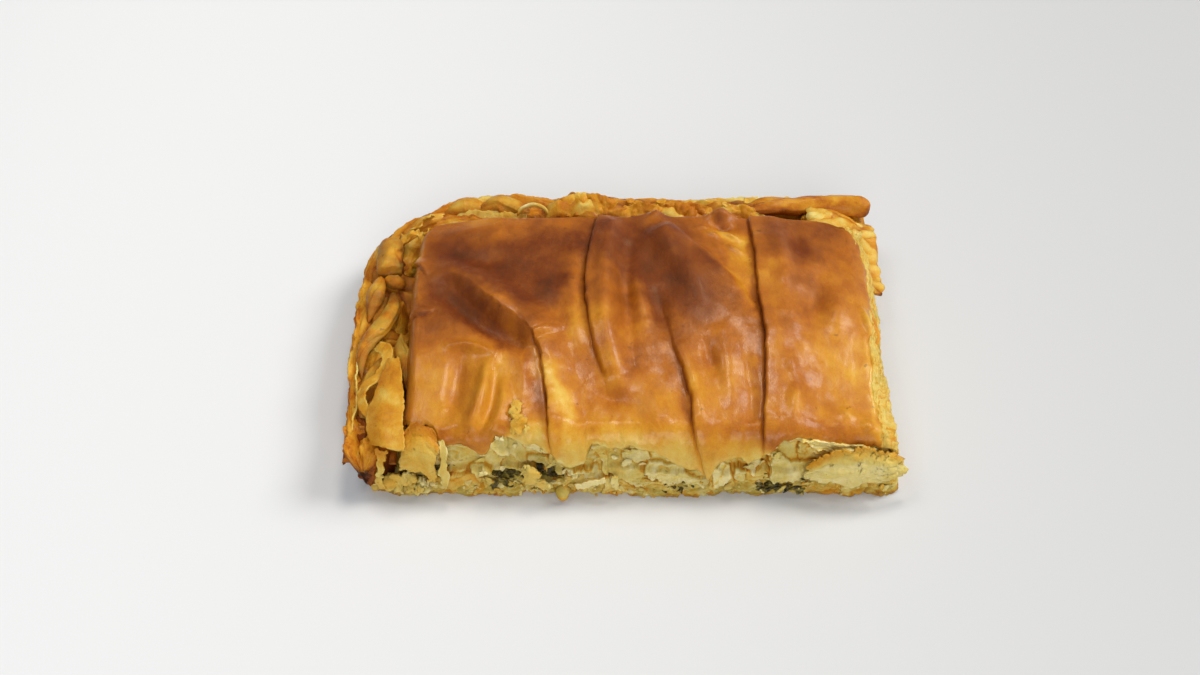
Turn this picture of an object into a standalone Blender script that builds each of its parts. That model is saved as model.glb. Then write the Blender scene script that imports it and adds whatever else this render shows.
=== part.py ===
"""A portion of spinach pie, cut from the corner of a tray-baked filo pie.

Its left and back edges lay against the pan, where the overhanging pastry is rolled into a rim.
Its front and right edges are knife cuts, where the pastry layers and the filling show.
Metres, +Z up, standing on z = 0 with the origin under the middle of its bounding box.
"""

import math

import bmesh
import bpy
import numpy as np
from mathutils import Matrix

MM = 0.001

# Plan of the portion, from the knife cuts to the tops of the pan's sloping walls
FRONT_CUT = -50.5 * MM
RIGHT_CUT_FRONT = 72.0 * MM
RIGHT_CUT_BACK = 76.4 * MM
RIGHT_CORNER_POINT = 1.6 * MM
PAN_FOOT_LEFT = -69.4 * MM
PAN_FOOT_BACK = 42.6 * MM
PAN_CORNER_RADIUS = 20.0 * MM
PORTION_MIDDLE = (-0.7 * MM, -0.5 * MM)

# Layers, from the floor up
BASE_THICKNESS = 3.2 * MM
BASE_BEHIND_CUT = 2.2 * MM
FILLING_BACK = 36.6 * MM
FILLING_CORNER_RADIUS = 15.0 * MM
FILLING_BEHIND_CUT = 4.5 * MM
FILLING_TOP_MIDDLE = 14.0 * MM
FILLING_TOP_AT_CUT = 8.0 * MM
CROWN_HEIGHT = 26.2 * MM
LAYER_GAP = 0.5 * MM

# The pastry lid over the filling
LID_LEFT = -59.8 * MM
LID_BACK = 37.6 * MM
LID_CORNER_RADIUS = 11.0 * MM
LID_SHOULDER = 8.0 * MM
LID_LEDGES = 4
FILLING_SHOWS = ((-27, 9, 4.2), (21, 7, 2.4), (50, 10, 3.4))

# Triangles that each finished solid is reduced to
LID_TRIANGLES = 5600
FILLING_TRIANGLES = 1500
TRAY_TRIANGLES = 6600

# Pleats of the lid: crease from back to front, lift of the sheet on the crease's left-hand
# side at the start, middle and end, and how far that sheet stays lifted
PLEATS = (
    (((-7.5, 37), (-10, 25), (-11, 6), (-10, -13), (-6, -30), (-2, -37)), (1.9, 2.3, 0.3), 15),
    (((9.5, 36), (10, 17), (12.6, -15), (16, -35), (19, -50), (21.5, -54)), (0.3, 1.9, 1.2), 12),
    (((37.5, 38), (38, 12), (38, -25), (35.5, -46), (36.5, -54)), (2.2, 2.3, 1.0), 18),
    (((-27, -11), (-24, -20), (-21, -37), (-19, -50)), (0.3, 2.1, 1.6), 9),
    (((36, -9), (30, 7), (21, 19), (13, 35)), (0.4, 1.9, 1.6), 14),
)
PLEAT_LIP = 1.3 * MM
PLEAT_GROOVE = 0.8 * MM

# Welts and dips of the lid: centre line, height, half width
WELTS = (
    (((-58, 5), (-47, 1), (-37, -7), (-26, -15)), 2.4, 3.6),
    (((-6, 30), (-4, 10), (-2, -12)), 1.1, 3.0),
    (((8, 37), (14, 24), (22, 10)), 1.9, 3.0),
    (((31, 36), (36, 33)), 2.4, 2.6),
    (((64, 2), (66.5, -14)), 1.0, 1.8),
    (((-38, -26), (-40, -42)), 1.3, 2.6),
    (((50, 26), (51, 0), (47, -26)), -0.9, 3.5),
    (((62, -34), (63, -42)), 1.4, 4.0),
    (((-60, -10), (-53, -6)), -1.5, 1.0),
    (((28, 27), (31, 10)), -1.2, 4.0),
)

# Rolled pastry on the rim: centre line, radius, height over width, turns of twist
ROLLS = (
    (((-70.0, 33, 15.5), (-69.5, 23, 16.5), (-69, 15, 15.5)), 4.5, 0.85, 0.3),
    (((-64.5, 15, 13.5), (-68.5, 13.2, 15), (-72.0, 13.6, 13.5)), 3.2, 0.8, 0.2),
    (((-73.0, 17, 13.5), (-73.4, 8, 15.5), (-73.2, 1, 15.5), (-73.4, -5, 13)), 3.0, 1.0, 0.7),
    (((-67, 11, 13), (-66.6, 0, 16.5), (-67.2, -8, 17.5), (-70, -14, 16.5), (-73.5, -23, 13.5)), 3.4, 0.8, 0.8),
    (((-63.8, -7, 11.5), (-63.6, -14, 15.5), (-64, -20, 14)), 2.3, 1.1, 0.2),
    (((-64.5, -14, 13.5), (-68.5, -23, 15.5), (-71.5, -30, 14.5), (-67.5, -38, 13.5)), 2.6, 1.0, 0.5),
    (((-72.5, -20, 13.5), (-74.2, -31, 14.8), (-74, -42, 12.8), (-73.5, -47.5, 10)), 2.2, 1.3, 0.3),
    (((-65, -28, 12.5), (-64.8, -37, 14.5), (-66.5, -47, 12.5)), 3.0, 0.9, 0.4),
    (((-67.5, 36, 14), (-62, 41.5, 15.5), (-54.5, 46, 16.5), (-47, 48, 16)), 3.2, 0.85, 0.5),
    (((-50, 44.5, 15.5), (-42, 48.4, 17), (-33, 48.4, 17), (-25, 44.5, 15.5)), 3.7, 0.85, 0.6),
    (((-25, 44, 18), (-19, 47.6, 21.6), (-9, 48, 22), (4, 47.6, 20.9), (14, 46.4, 19.4)), 4.4, 0.95, 1.2),
    (((6, 47.4, 19.4), (18, 47, 20), (30, 47.8, 19.8), (41, 47.2, 18.8)), 4.2, 0.85, 1.0),
    (((-19, 40.5, 17), (-6, 42.6, 17.6), (10, 41, 17.2), (24, 43, 16.6)), 3.0, 0.8, 0.9),
    (((35, 45.6, 17.5), (47, 46.6, 18.8), (58, 47.2, 19.2), (68, 47, 19.3), (76.2, 46.6, 18.4)), 4.3, 0.9, 0.3),
)

# A crumb of crust that broke forward out of the cut and lies at the foot
CRUMB = (((-17.2, -48, 1.6), (-17.4, -51, 1.8), (-17.4, -54.2, 1.6)), 2.4, 0.75, 0.1)

# Broken flakes standing on the rim: four corners, clockwise seen from above, and bulge
FLAKES = (
    (((-63, -18, 18.5), (-60.6, -21, 19.8), (-58.8, -49, 18.6), (-68, -46, 14.6)), 1.3),
    (((-72.5, -24, 16), (-66.5, -20, 17.5), (-66, -33, 16.5), (-71.5, -36, 15.2)), -0.8),
    (((-66.2, -14.5, 16), (-62.4, -12, 17.5), (-61.6, -19, 17), (-65.4, -22, 16)), 0.8),
    (((0, 39, 16.5), (14, 39, 17), (13, 43.5, 20.5), (1, 43.5, 20.5)), 1.0),
    (((50, 39.2, 15.5), (66, 39.2, 14.5), (67, 44, 17), (51, 44, 18)), 0.8),
)
FLAKE_THICKNESS = 1.2 * MM

# Slits between rolls up to this wide are baked shut, and the underside is flat within the other
SLIT = 0.55 * MM
FLAT_WITHIN = 0.3 * MM


# Smooth random relief and small shape helpers
def smooth(low, high, value):
    share = np.clip((value - low) / (high - low), 0, 1)
    return share * share * (3 - 2 * share)


def relief(x, y, size, seed):
    """Smooth random bumps from about -1 to 1 that are about size across."""
    table = np.random.default_rng(seed).uniform(-1, 1, (64, 64))
    u, v = np.asarray(x) / size, np.asarray(y) / size
    i, j = np.floor(u).astype(int), np.floor(v).astype(int)
    s, t = u - i, v - j
    s, t = s * s * (3 - 2 * s), t * t * (3 - 2 * t)
    near = table[i % 64, j % 64] * (1 - s) + table[(i + 1) % 64, j % 64] * s
    far = table[i % 64, (j + 1) % 64] * (1 - s) + table[(i + 1) % 64, (j + 1) % 64] * s
    return near * (1 - t) + far * t


def through(points, steps):
    """A smooth curve through the points, which are in millimetres, as rows of metres."""
    known = np.array(points, float) * MM
    padded = np.vstack([2 * known[0] - known[1], known, 2 * known[-1] - known[-2]])
    rows = []
    for place in np.linspace(0, len(known) - 1, steps):
        k = min(int(place), len(known) - 2)
        t = place - k
        a, b, c, d = padded[k : k + 4]
        bend = (2 * a - 5 * b + 4 * c - d) * t**2 + (3 * b - a - 3 * c + d) * t**3
        rows.append(0.5 * (2 * b + (c - a) * t + bend))
    return np.array(rows)


def beside(x, y, points):
    """How far each place is from a line, positive on its left-hand side, and how far along it."""
    curve = through(points, 30)[:, :2]
    nearest = np.full(x.shape, np.inf)
    signed, along = np.zeros(x.shape), np.zeros(x.shape)
    for k, (start, end) in enumerate(zip(curve[:-1], curve[1:])):
        way = end - start
        dx, dy = x - start[0], y - start[1]
        share = np.clip((dx * way[0] + dy * way[1]) / (way @ way), 0, 1)
        gap = np.hypot(dx - share * way[0], dy - share * way[1])
        side = np.where(way[0] * dy - way[1] * dx >= 0, 1.0, -1.0)
        closer = gap < nearest
        nearest = np.where(closer, gap, nearest)
        signed = np.where(closer, side * gap, signed)
        along = np.where(closer, (k + share) / (len(curve) - 1), along)
    return signed, along


# Plan outlines
def front_edge(x):
    return FRONT_CUT + 0.9 * MM * relief(x, 0 * x, 9 * MM, 3) + 0.5 * MM * relief(x, 0 * x, 3 * MM, 4)


def right_cut(y):
    cut = RIGHT_CUT_FRONT + (RIGHT_CUT_BACK - RIGHT_CUT_FRONT) * smooth(-40 * MM, 30 * MM, y)
    return cut + RIGHT_CORNER_POINT * smooth(-40 * MM, -48 * MM, y)


def right_edge(y):
    return right_cut(y) + 0.9 * MM * relief(y, 0 * y, 8 * MM, 5) + 0.4 * MM * relief(y, 0 * y, 2.5 * MM, 6)


def lid_left_edge(y):
    drawn_in = 2.4 * smooth(8 * MM, -38 * MM, y) - 5.0 * smooth(-42 * MM, -48 * MM, y)
    return LID_LEFT + drawn_in * MM + 0.4 * MM * relief(y, 0 * y, 9 * MM, 7)


def lid_back_edge(x):
    return LID_BACK + 0.4 * MM * relief(x, 0 * x, 11 * MM, 8)


def corner_inset(y, back, radius):
    """How far a rounded back-left corner draws the left edge in, at each y."""
    into_corner = np.clip((y - back + radius) / radius, 0, 1)
    return radius * (1 - np.sqrt(1 - into_corner**2))


# Heights
def filling_top(x, y):
    """The filling is thickest in the middle of the pie and is pressed thin by the knife."""
    to_cut = np.minimum(y - FRONT_CUT, right_cut(y) - x)
    rise = smooth(0, 26 * MM, to_cut)
    return FILLING_TOP_AT_CUT + (FILLING_TOP_MIDDLE - FILLING_TOP_AT_CUT) * rise


def lid_folds(x, y):
    """Height that the pleats, welts and dips add to the lid."""
    height = 0.0007 * relief(x, y, 17 * MM, 11) + 0.00035 * relief(x, y, 6 * MM, 12)
    for points, lifts, spread in PLEATS:
        gap, along = beside(x, y, points)
        lift = np.interp(along, (0, 0.5, 1), lifts) * MM
        lip = smooth(-0.4 * PLEAT_LIP, PLEAT_LIP, gap)
        settle = 1 - smooth(0.15 * spread * MM, spread * MM, gap)
        groove = np.exp(-((gap / PLEAT_GROOVE + 0.6) ** 2))
        height += lift * lip * settle - 0.25 * lift * groove
    for points, tall, half_width in WELTS:
        gap, along = beside(x, y, points)
        fade = smooth(0, 0.2, along + 0.05) * (1 - smooth(0.85, 1.0, along - 0.03))
        height += tall * MM * np.exp(-((gap / (half_width * MM)) ** 2)) * fade
    return height


def lid_top(x, y):
    """Upper side of the lid: a crowned, pleated sheet that drops away at its four edges."""
    crown = CROWN_HEIGHT - 6.0 * MM * smooth(-4 * MM, -52 * MM, y) - 1.2 * MM * smooth(14 * MM, 36 * MM, y)
    crown = crown - 2.4 * MM * smooth(-34 * MM, -60 * MM, x) - 2.8 * MM * smooth(42 * MM, 72 * MM, x)
    past_corner = np.hypot(np.maximum(x - 54 * MM, 0), np.maximum(y - 20 * MM, 0))
    crown = crown - 8.0 * MM * smooth(14 * MM, 26 * MM, past_corner)
    return crown + lid_folds(x, y)


def round_over(gap, width):
    """0 at an edge and 1 beyond width, round like a shoulder."""
    share = np.clip(gap / width, 0, 1)
    return (1 - (1 - share) ** 2.4) ** (1 / 1.7)


def terraces(level, count):
    """A slope turned into ledges, as where stacked sheets break off one behind another."""
    scaled = level * count
    step = np.floor(scaled)
    return (step + smooth(0.25, 0.95, scaled - step)) / count


# Mesh makers
def object_from(name, points, faces):
    mesh = bpy.data.meshes.new(name)
    mesh.from_pydata([tuple(p) for p in points], [], [tuple(f) for f in faces])
    mesh.update()
    shape = bmesh.new()
    shape.from_mesh(mesh)
    bmesh.ops.remove_doubles(shape, verts=shape.verts, dist=1e-7)
    bmesh.ops.recalc_face_normals(shape, faces=shape.faces)
    shape.to_mesh(mesh)
    shape.free()
    made = bpy.data.objects.new(name, mesh)
    bpy.context.scene.collection.objects.link(made)
    return made


def slab(name, x, y, top, bottom, side_rows, bulge):
    """A closed solid over a grid of places, whose edge faces lean out by bulge(place, height)."""
    rows, columns = x.shape
    upper = np.arange(rows * columns).reshape(rows, columns)
    lower = upper + rows * columns
    points = [np.stack([x, y, top], -1).reshape(-1, 3), np.stack([x, y, bottom], -1).reshape(-1, 3)]
    faces = []
    for i in range(rows - 1):
        for j in range(columns - 1):
            faces.append((upper[i, j], upper[i, j + 1], upper[i + 1, j + 1], upper[i + 1, j]))
            faces.append((lower[i, j], lower[i + 1, j], lower[i + 1, j + 1], lower[i, j + 1]))
    ring = [(0, j) for j in range(columns)] + [(i, columns - 1) for i in range(1, rows)]
    ring += [(rows - 1, j) for j in range(columns - 2, -1, -1)] + [(i, 0) for i in range(rows - 2, 0, -1)]
    index = tuple(np.array(ring).T)
    rim_top, rim_low = points[0][upper[index]], points[1][upper[index]]
    onward = np.roll(rim_top, -1, 0) - np.roll(rim_top, 1, 0)
    outward = np.stack([onward[:, 1], -onward[:, 0], 0 * onward[:, 0]], -1)
    outward /= np.maximum(np.linalg.norm(outward, axis=1, keepdims=True), 1e-9)
    bands, count = [upper[index]], 2 * rows * columns
    for k in range(1, side_rows):
        share = k / side_rows
        level = rim_top * (1 - share) + rim_low * share
        points.append(level + outward * bulge(level, share)[:, None])
        bands.append(np.arange(count, count + len(ring)))
        count += len(ring)
    bands.append(lower[index])
    for above, below in zip(bands[:-1], bands[1:]):
        for k in range(len(ring)):
            n = (k + 1) % len(ring)
            faces.append((above[n], above[k], below[k], below[n]))
    return object_from(name, np.vstack(points), faces)


def tube(name, curve, ring_at, sides):
    """A closed tube along a curve. ring_at(share, angle) gives its radius across and upwards."""
    ahead = np.gradient(curve, axis=0)
    ahead /= np.linalg.norm(ahead, axis=1, keepdims=True)
    across = np.cross(ahead, (0, 0, 1))
    across /= np.linalg.norm(across, axis=1, keepdims=True)
    upward = np.cross(across, ahead)
    angle = np.linspace(0, 2 * math.pi, sides, endpoint=False)
    points, faces = [curve[0]], []
    for k, centre in enumerate(curve):
        wide, tall = ring_at(k / (len(curve) - 1), angle)
        points.extend(centre + np.outer(wide * np.cos(angle), across[k]) + np.outer(tall * np.sin(angle), upward[k]))
    points.append(curve[-1])
    last = len(points) - 1
    for j in range(sides):
        n = (j + 1) % sides
        faces.append((0, 1 + n, 1 + j))
        faces.append((last, last - sides + j, last - sides + n))
        for k in range(len(curve) - 1):
            a = 1 + k * sides
            faces.append((a + j, a + n, a + sides + n, a + sides + j))
    return object_from(name, points, faces)


def spaced(low, high, count, crowding):
    """Places from low to high, closer together towards both ends."""
    share = np.linspace(-1, 1, count)
    share = (1 - crowding) * share + crowding * np.sin(share * math.pi / 2)
    return low + (high - low) * (share + 1) / 2


# The three parts of the pie
def make_lid():
    """Stacked filo over the filling: pleated on top, and broken off in ledges at the two cuts."""
    across, along = np.meshgrid(spaced(0, 1, 150, 0.45), spaced(0, 1, 112, 0.5))
    guess_x = LID_LEFT + (RIGHT_CUT_FRONT - LID_LEFT) * across
    guess_y = FRONT_CUT + (LID_BACK - FRONT_CUT) * along
    left, right = lid_left_edge(guess_y), right_edge(guess_y) - 0.5 * MM
    left = left + corner_inset(guess_y, LID_BACK, LID_CORNER_RADIUS)
    front, back = front_edge(guess_x), lid_back_edge(guess_x)
    x = left + (right - left) * across
    y = front + (back - front) * along
    inside = filling_top(x, y) + LAYER_GAP
    lip = 1.2 + 0.7 * relief(x, y, 13 * MM, 21) + 0.6 * relief(x, y, 4 * MM, 22)
    for middle, half_width, height in FILLING_SHOWS:
        lip += height * np.exp(-(((x / MM - middle) / half_width) ** 4)) * (y < FRONT_CUT + 6 * MM)
    lip += 2.5 * smooth(-42 * MM, -25 * MM, y) * (right - x < 6 * MM)
    droop = BASE_THICKNESS + MM * lip
    curtain = 1 - smooth(2.4 * MM, 3.2 * MM, np.minimum(y - front, right - x))
    under = inside * (1 - curtain) + np.maximum(droop, BASE_THICKNESS + LAYER_GAP) * curtain
    right_shoulder = (1 + 0.5 * smooth(-30 * MM, 10 * MM, y)) * LID_SHOULDER
    slope = round_over(y - front, LID_SHOULDER) * round_over(right - x, right_shoulder)
    torn = 0.10 * relief(x, y, 6 * MM, 23) + 0.06 * relief(x, y, 2.5 * MM, 24)
    level = np.clip(terraces(np.clip(slope + torn * (slope < 0.97), 0, 1), LID_LEDGES), 0, 1)
    level = np.where(slope > 0.97, slope, np.minimum(level, slope + 0.1))
    level = level * round_over(x - left, 3.5 * MM) * round_over(back - y, 4 * MM)
    edge_top = under + 1.3 * MM
    top = edge_top + (np.maximum(lid_top(x, y), edge_top) - edge_top) * level
    return slab("top_crust", x, y, top, under, 2, lambda place, share: 0.25 * MM * relief(place[:, 0], place[:, 1], 3 * MM, 25))


def make_filling():
    """Spinach filling from wall to wall, crumbly where the knife went through it."""
    across, along = np.meshgrid(spaced(0, 1, 90, 0.4), spaced(0, 1, 64, 0.4))
    left, front, back = LID_LEFT, FRONT_CUT + FILLING_BEHIND_CUT, FILLING_BACK
    y = front + (back - front) * along
    right = right_cut(y) - FILLING_BEHIND_CUT
    left = left + corner_inset(y, back, FILLING_CORNER_RADIUS)
    x = left + (right - left) * across
    top = filling_top(x, y) - 0 * x
    bottom = BASE_THICKNESS + LAYER_GAP + 0 * x

    def crumbs(place, share):
        to_right = right_cut(place[:, 1]) - FILLING_BEHIND_CUT - place[:, 0]
        cut = np.maximum(smooth(front + 2 * MM, front, place[:, 1]), smooth(2 * MM, 0, to_right))
        lumps = relief(place[:, 0] + place[:, 1], place[:, 2] * 3, 5 * MM, 31)
        return cut * MM * (0.45 * lumps - 0.2) * math.sin(math.pi * share)

    return slab("spinach_filling", x, y, top, bottom, 5, crumbs)


def pan_corner_line(steps):
    """Foot of the pan's wall, from the front end of the left side round to the right end."""
    middle = np.array((PAN_FOOT_LEFT + PAN_CORNER_RADIUS, PAN_FOOT_BACK - PAN_CORNER_RADIUS))
    turn = np.linspace(math.pi, math.pi / 2, 12)
    arc = middle + PAN_CORNER_RADIUS * np.stack([np.cos(turn), np.sin(turn)], -1)
    start = np.array([(PAN_FOOT_LEFT + 0.8 * MM, FRONT_CUT + 1.2 * MM)])
    end = np.array([(RIGHT_CUT_BACK - 0.8 * MM, PAN_FOOT_BACK)])
    line = np.vstack([start, arc, end])
    far = np.concatenate([[0], np.cumsum(np.linalg.norm(np.diff(line, axis=0), axis=1))])
    places = np.linspace(0, far[-1], steps)
    return np.stack([np.interp(places, far, line[:, 0]), np.interp(places, far, line[:, 1])], -1), places


# Cross-section of the pastry wall: outwards from the wall's foot, and up
WALL_SECTION = (
    (-5.6, 1.2), (0.6, 0.8), (2.6, 2.2), (4.6, 5.0), (6.6, 8.6), (8.2, 11.6), (8.9, 13.4), (8.3, 14.7),
    (6.4, 14.0), (4.0, 13.2), (1.0, 13.4), (-2.0, 13.0), (-4.2, 11.8), (-5.4, 9.0), (-5.6, 5.0),
)


def make_wall():
    """Pastry that stood against the pan, with the shallow bed of folded sheets inside it."""
    line, places = pan_corner_line(96)
    onward = np.gradient(line, axis=0)
    outward = np.stack([-onward[:, 1], onward[:, 0]], -1)
    outward /= np.linalg.norm(outward, axis=1, keepdims=True)
    section = np.array(WALL_SECTION) * MM
    sides = len(section)
    points, faces = [], []
    behind = smooth(75 * MM, 110 * MM, places)
    flare = 1.06 - 0.34 * smooth(60 * MM, 0, places) - 0.5 * np.exp(-(((places - 94 * MM) / (10 * MM)) ** 2))
    for k, (spot, away) in enumerate(zip(line, outward)):
        tall = 1 + 0.10 * relief(places[k], 0, 23 * MM, 41) + 0.22 * behind[k]
        for j, (out, up) in enumerate(section):
            crease = 0.35 * MM * relief(places[k], j * 2.0 * MM, 3.2 * MM, 42) * (up > 2 * MM)
            stretch = flare[k] if out > 0 else 1 - 0.4 * behind[k]
            reach = out * stretch + crease + 0.6 * MM * relief(places[k], 0, 11 * MM, 43) * (up > 6 * MM) * (out > 0)
            rise = up * tall if up > 2 * MM else up
            points.append((*(spot + away * reach), rise + 1.6 * crease))
    for k in range(len(line) - 1):
        for j in range(sides):
            a, b = k * sides + j, k * sides + (j + 1) % sides
            faces.append((a, b, b + sides, a + sides))
    faces.append(tuple(range(sides)))
    faces.append(tuple(reversed(range((len(line) - 1) * sides, len(line) * sides))))
    return object_from("pan_wall", points, faces)


def make_base():
    """The flat bottom sheets, from the foot of the pan's walls to the two cuts."""
    corner, _ = pan_corner_line(40)
    x = np.linspace(PAN_FOOT_LEFT + 1.5 * MM, RIGHT_CUT_FRONT - BASE_BEHIND_CUT, 60)
    y = np.linspace(FRONT_CUT, PAN_FOOT_BACK, 40)
    along_front = np.stack([x, front_edge(x + 40 * MM)], -1)
    along_right = np.stack([right_edge(y) - BASE_BEHIND_CUT, y], -1)[1:-1]
    outline = np.vstack([along_front, along_right, corner[1:-1][::-1]])
    onward = np.roll(outline, -1, 0) - np.roll(outline, 1, 0)
    outward = np.stack([onward[:, 1], -onward[:, 0]], -1)
    outward /= np.linalg.norm(outward, axis=1, keepdims=True)
    points = []
    for share in (0, 0.3, 0.7, 1):
        bulge = 0.8 * MM * math.sin(math.pi * share)
        level = np.full(len(outline), share * BASE_THICKNESS)
        points.append(np.column_stack([outline + outward * bulge, level]))
    count = len(outline)
    faces = [tuple(reversed(range(count))), tuple(range(3 * count, 4 * count))]
    for row in range(3):
        for k in range(count):
            n = (k + 1) % count
            faces.append((row * count + k, row * count + n, (row + 1) * count + n, (row + 1) * count + k))
    return object_from("bottom_crust", np.vstack(points), faces)


def make_roll(number, points, radius, flatness, twist):
    """A rolled-up strip of filo, ridged lengthwise, whose free edge shows as a small step."""
    curve = through(points, 15)

    def ring(share, angle):
        closing = max(0.0, 1 - abs(2 * share - 1) ** 7) ** 0.5
        turned = angle + 2 * math.pi * twist * share + number
        ridges = 1 + 0.07 * np.cos(3 * turned) + 0.05 * np.cos(5 * turned + 7 * share)
        lap = 0.10 * ((turned / (2 * math.pi)) % 1.0)
        swell = 1 + 0.10 * math.sin(9 * share + number)
        size = radius * MM * closing * swell * (ridges + lap)
        return size, size * flatness

    return tube(f"roll_{number}", curve, ring, 12)


def make_flake(number, corners, bulge):
    """A broken flake of stiff baked filo, both faces split alike."""
    a, b, c, d = (np.array(p, float) * MM for p in corners)
    rows, columns = 9, 7
    s, t = np.meshgrid(np.linspace(0, 1, columns), np.linspace(0, 1, rows))
    ragged = 0.06 * relief(s * 9, t * 9, 1.3, 50 + number)
    s3, t3 = s[..., None] + ragged[..., None] * (t[..., None] - 0.5), t[..., None] + ragged[..., None]
    sheet = (a * (1 - s3) + b * s3) * (1 - t3) + (d * (1 - s3) + c * s3) * t3
    sheet[..., 2] += bulge * MM * np.sin(math.pi * s) * (0.6 + 0.4 * np.sin(math.pi * t))
    sheet[..., 2] += 0.25 * MM * relief(s * 9, t * 9, 2.2, 60 + number)
    x, y, z = sheet[..., 0], sheet[..., 1], sheet[..., 2]
    return slab(f"flake_{number}", x, y, z, z - FLAKE_THICKNESS, 1, None)


def keep_outer_skin(mesh):
    """Fill hollows that the joining sealed and drop loose scraps: only the largest skin stays."""
    shape = bmesh.new()
    shape.from_mesh(mesh)
    left, skins = set(shape.verts), []
    while left:
        skin, edge_of_search = set(), [left.pop()]
        while edge_of_search:
            place = edge_of_search.pop()
            skin.add(place)
            for edge in place.link_edges:
                other = edge.other_vert(place)
                if other in left:
                    left.discard(other)
                    edge_of_search.append(other)
        skins.append(skin)
    skins.sort(key=len)
    for skin in skins[:-1]:
        bmesh.ops.delete(shape, geom=list(skin), context="VERTS")
    shape.to_mesh(mesh)
    shape.free()


def join_into(target, pieces):
    """One Boolean union of the pieces with the target, applied, with the pieces then removed."""
    together = bpy.data.collections.new("pieces_to_join")
    bpy.context.scene.collection.children.link(together)
    for piece in pieces:
        bpy.context.scene.collection.objects.unlink(piece)
        together.objects.link(piece)
    union = target.modifiers.new("Union", "BOOLEAN")
    union.operation = "UNION"
    union.operand_type = "COLLECTION"
    union.collection = together
    union.solver = "EXACT"
    close_slits = target.modifiers.new("Close slits", "REMESH")
    close_slits.mode = "VOXEL"
    close_slits.voxel_size = SLIT
    bpy.context.view_layer.update()
    graph = bpy.context.evaluated_depsgraph_get()
    joined = bpy.data.meshes.new_from_object(target.evaluated_get(graph))
    target.modifiers.clear()
    target.data = joined
    keep_outer_skin(joined)
    for piece in pieces:
        bpy.data.objects.remove(piece)
    bpy.data.collections.remove(together)


def reduce_to(target, triangles):
    """Keep the folds, spend few faces on plain places, and leave a flat underside flat."""
    target.data.calc_loop_triangles()
    thin = target.modifiers.new("Fewer faces", "DECIMATE")
    thin.ratio = min(1.0, triangles / len(target.data.loop_triangles))
    bpy.context.view_layer.update()
    graph = bpy.context.evaluated_depsgraph_get()
    reduced = bpy.data.meshes.new_from_object(target.evaluated_get(graph))
    target.modifiers.clear()
    target.data = reduced
    for place in reduced.vertices:
        if place.co.z < FLAT_WITHIN:
            place.co.z = 0.0


def paint(target, name, colour, roughness):
    material = bpy.data.materials.new(name)
    material.use_nodes = True
    shader = material.node_tree.nodes["Principled BSDF"]
    shader.inputs["Base Color"].default_value = (*colour, 1.0)
    shader.inputs["Roughness"].default_value = roughness
    shader.inputs["Metallic"].default_value = 0.0
    target.data.materials.clear()
    target.data.materials.append(material)
    target.data.shade_smooth()
    target.data.set_sharp_from_angle(angle=math.radians(50))


def stand_on_origin(target):
    target.data.transform(Matrix.Translation((-PORTION_MIDDLE[0], -PORTION_MIDDLE[1], 0)))


for leftover in list(bpy.data.objects):
    bpy.data.objects.remove(leftover)

tray = make_base()
rim_pieces = [make_wall()]
rim_pieces += [make_roll(k, *facts) for k, facts in enumerate((*ROLLS, CRUMB))]
rim_pieces += [make_flake(k, *facts) for k, facts in enumerate(FLAKES)]
join_into(tray, rim_pieces)
reduce_to(tray, TRAY_TRIANGLES)
paint(tray, "golden filo", (0.62, 0.33, 0.08), 0.55)

filling = make_filling()
reduce_to(filling, FILLING_TRIANGLES)
paint(filling, "cooked spinach", (0.16, 0.15, 0.04), 0.5)

lid = make_lid()
reduce_to(lid, LID_TRIANGLES)
paint(lid, "browned filo", (0.50, 0.20, 0.04), 0.42)

for part in (tray, filling, lid):
    stand_on_origin(part)
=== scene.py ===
"""A portion of spinach pie, cut from the corner of a tray-baked filo pie."""

import math

import bpy
import numpy as np
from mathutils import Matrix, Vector


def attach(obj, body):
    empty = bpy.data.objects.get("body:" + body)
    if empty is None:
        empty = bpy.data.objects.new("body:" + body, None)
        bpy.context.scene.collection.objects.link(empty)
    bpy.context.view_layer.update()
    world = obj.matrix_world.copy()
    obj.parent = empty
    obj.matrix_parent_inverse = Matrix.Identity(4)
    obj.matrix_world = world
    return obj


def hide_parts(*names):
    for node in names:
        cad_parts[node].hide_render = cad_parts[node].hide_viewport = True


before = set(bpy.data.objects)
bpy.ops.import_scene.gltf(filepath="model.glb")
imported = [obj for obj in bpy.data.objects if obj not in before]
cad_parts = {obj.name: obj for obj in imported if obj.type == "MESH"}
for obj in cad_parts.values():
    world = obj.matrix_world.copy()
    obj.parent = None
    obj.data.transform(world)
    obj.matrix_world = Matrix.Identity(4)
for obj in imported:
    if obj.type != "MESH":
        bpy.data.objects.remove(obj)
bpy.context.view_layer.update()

# The table, the light and the camera
# A plain pale surface under broad soft light, which is a little stronger from the right.
# The camera looks down at 45 degrees, from in front of the long cut.
MM = 0.001
MIDDLE = np.array((-0.7, -0.5, 0.0))    # middle of the portion, in the millimetres used below
LAMP_AIM = (0, 0, 0.01)
TABLE_HALF = 2.0


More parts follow.
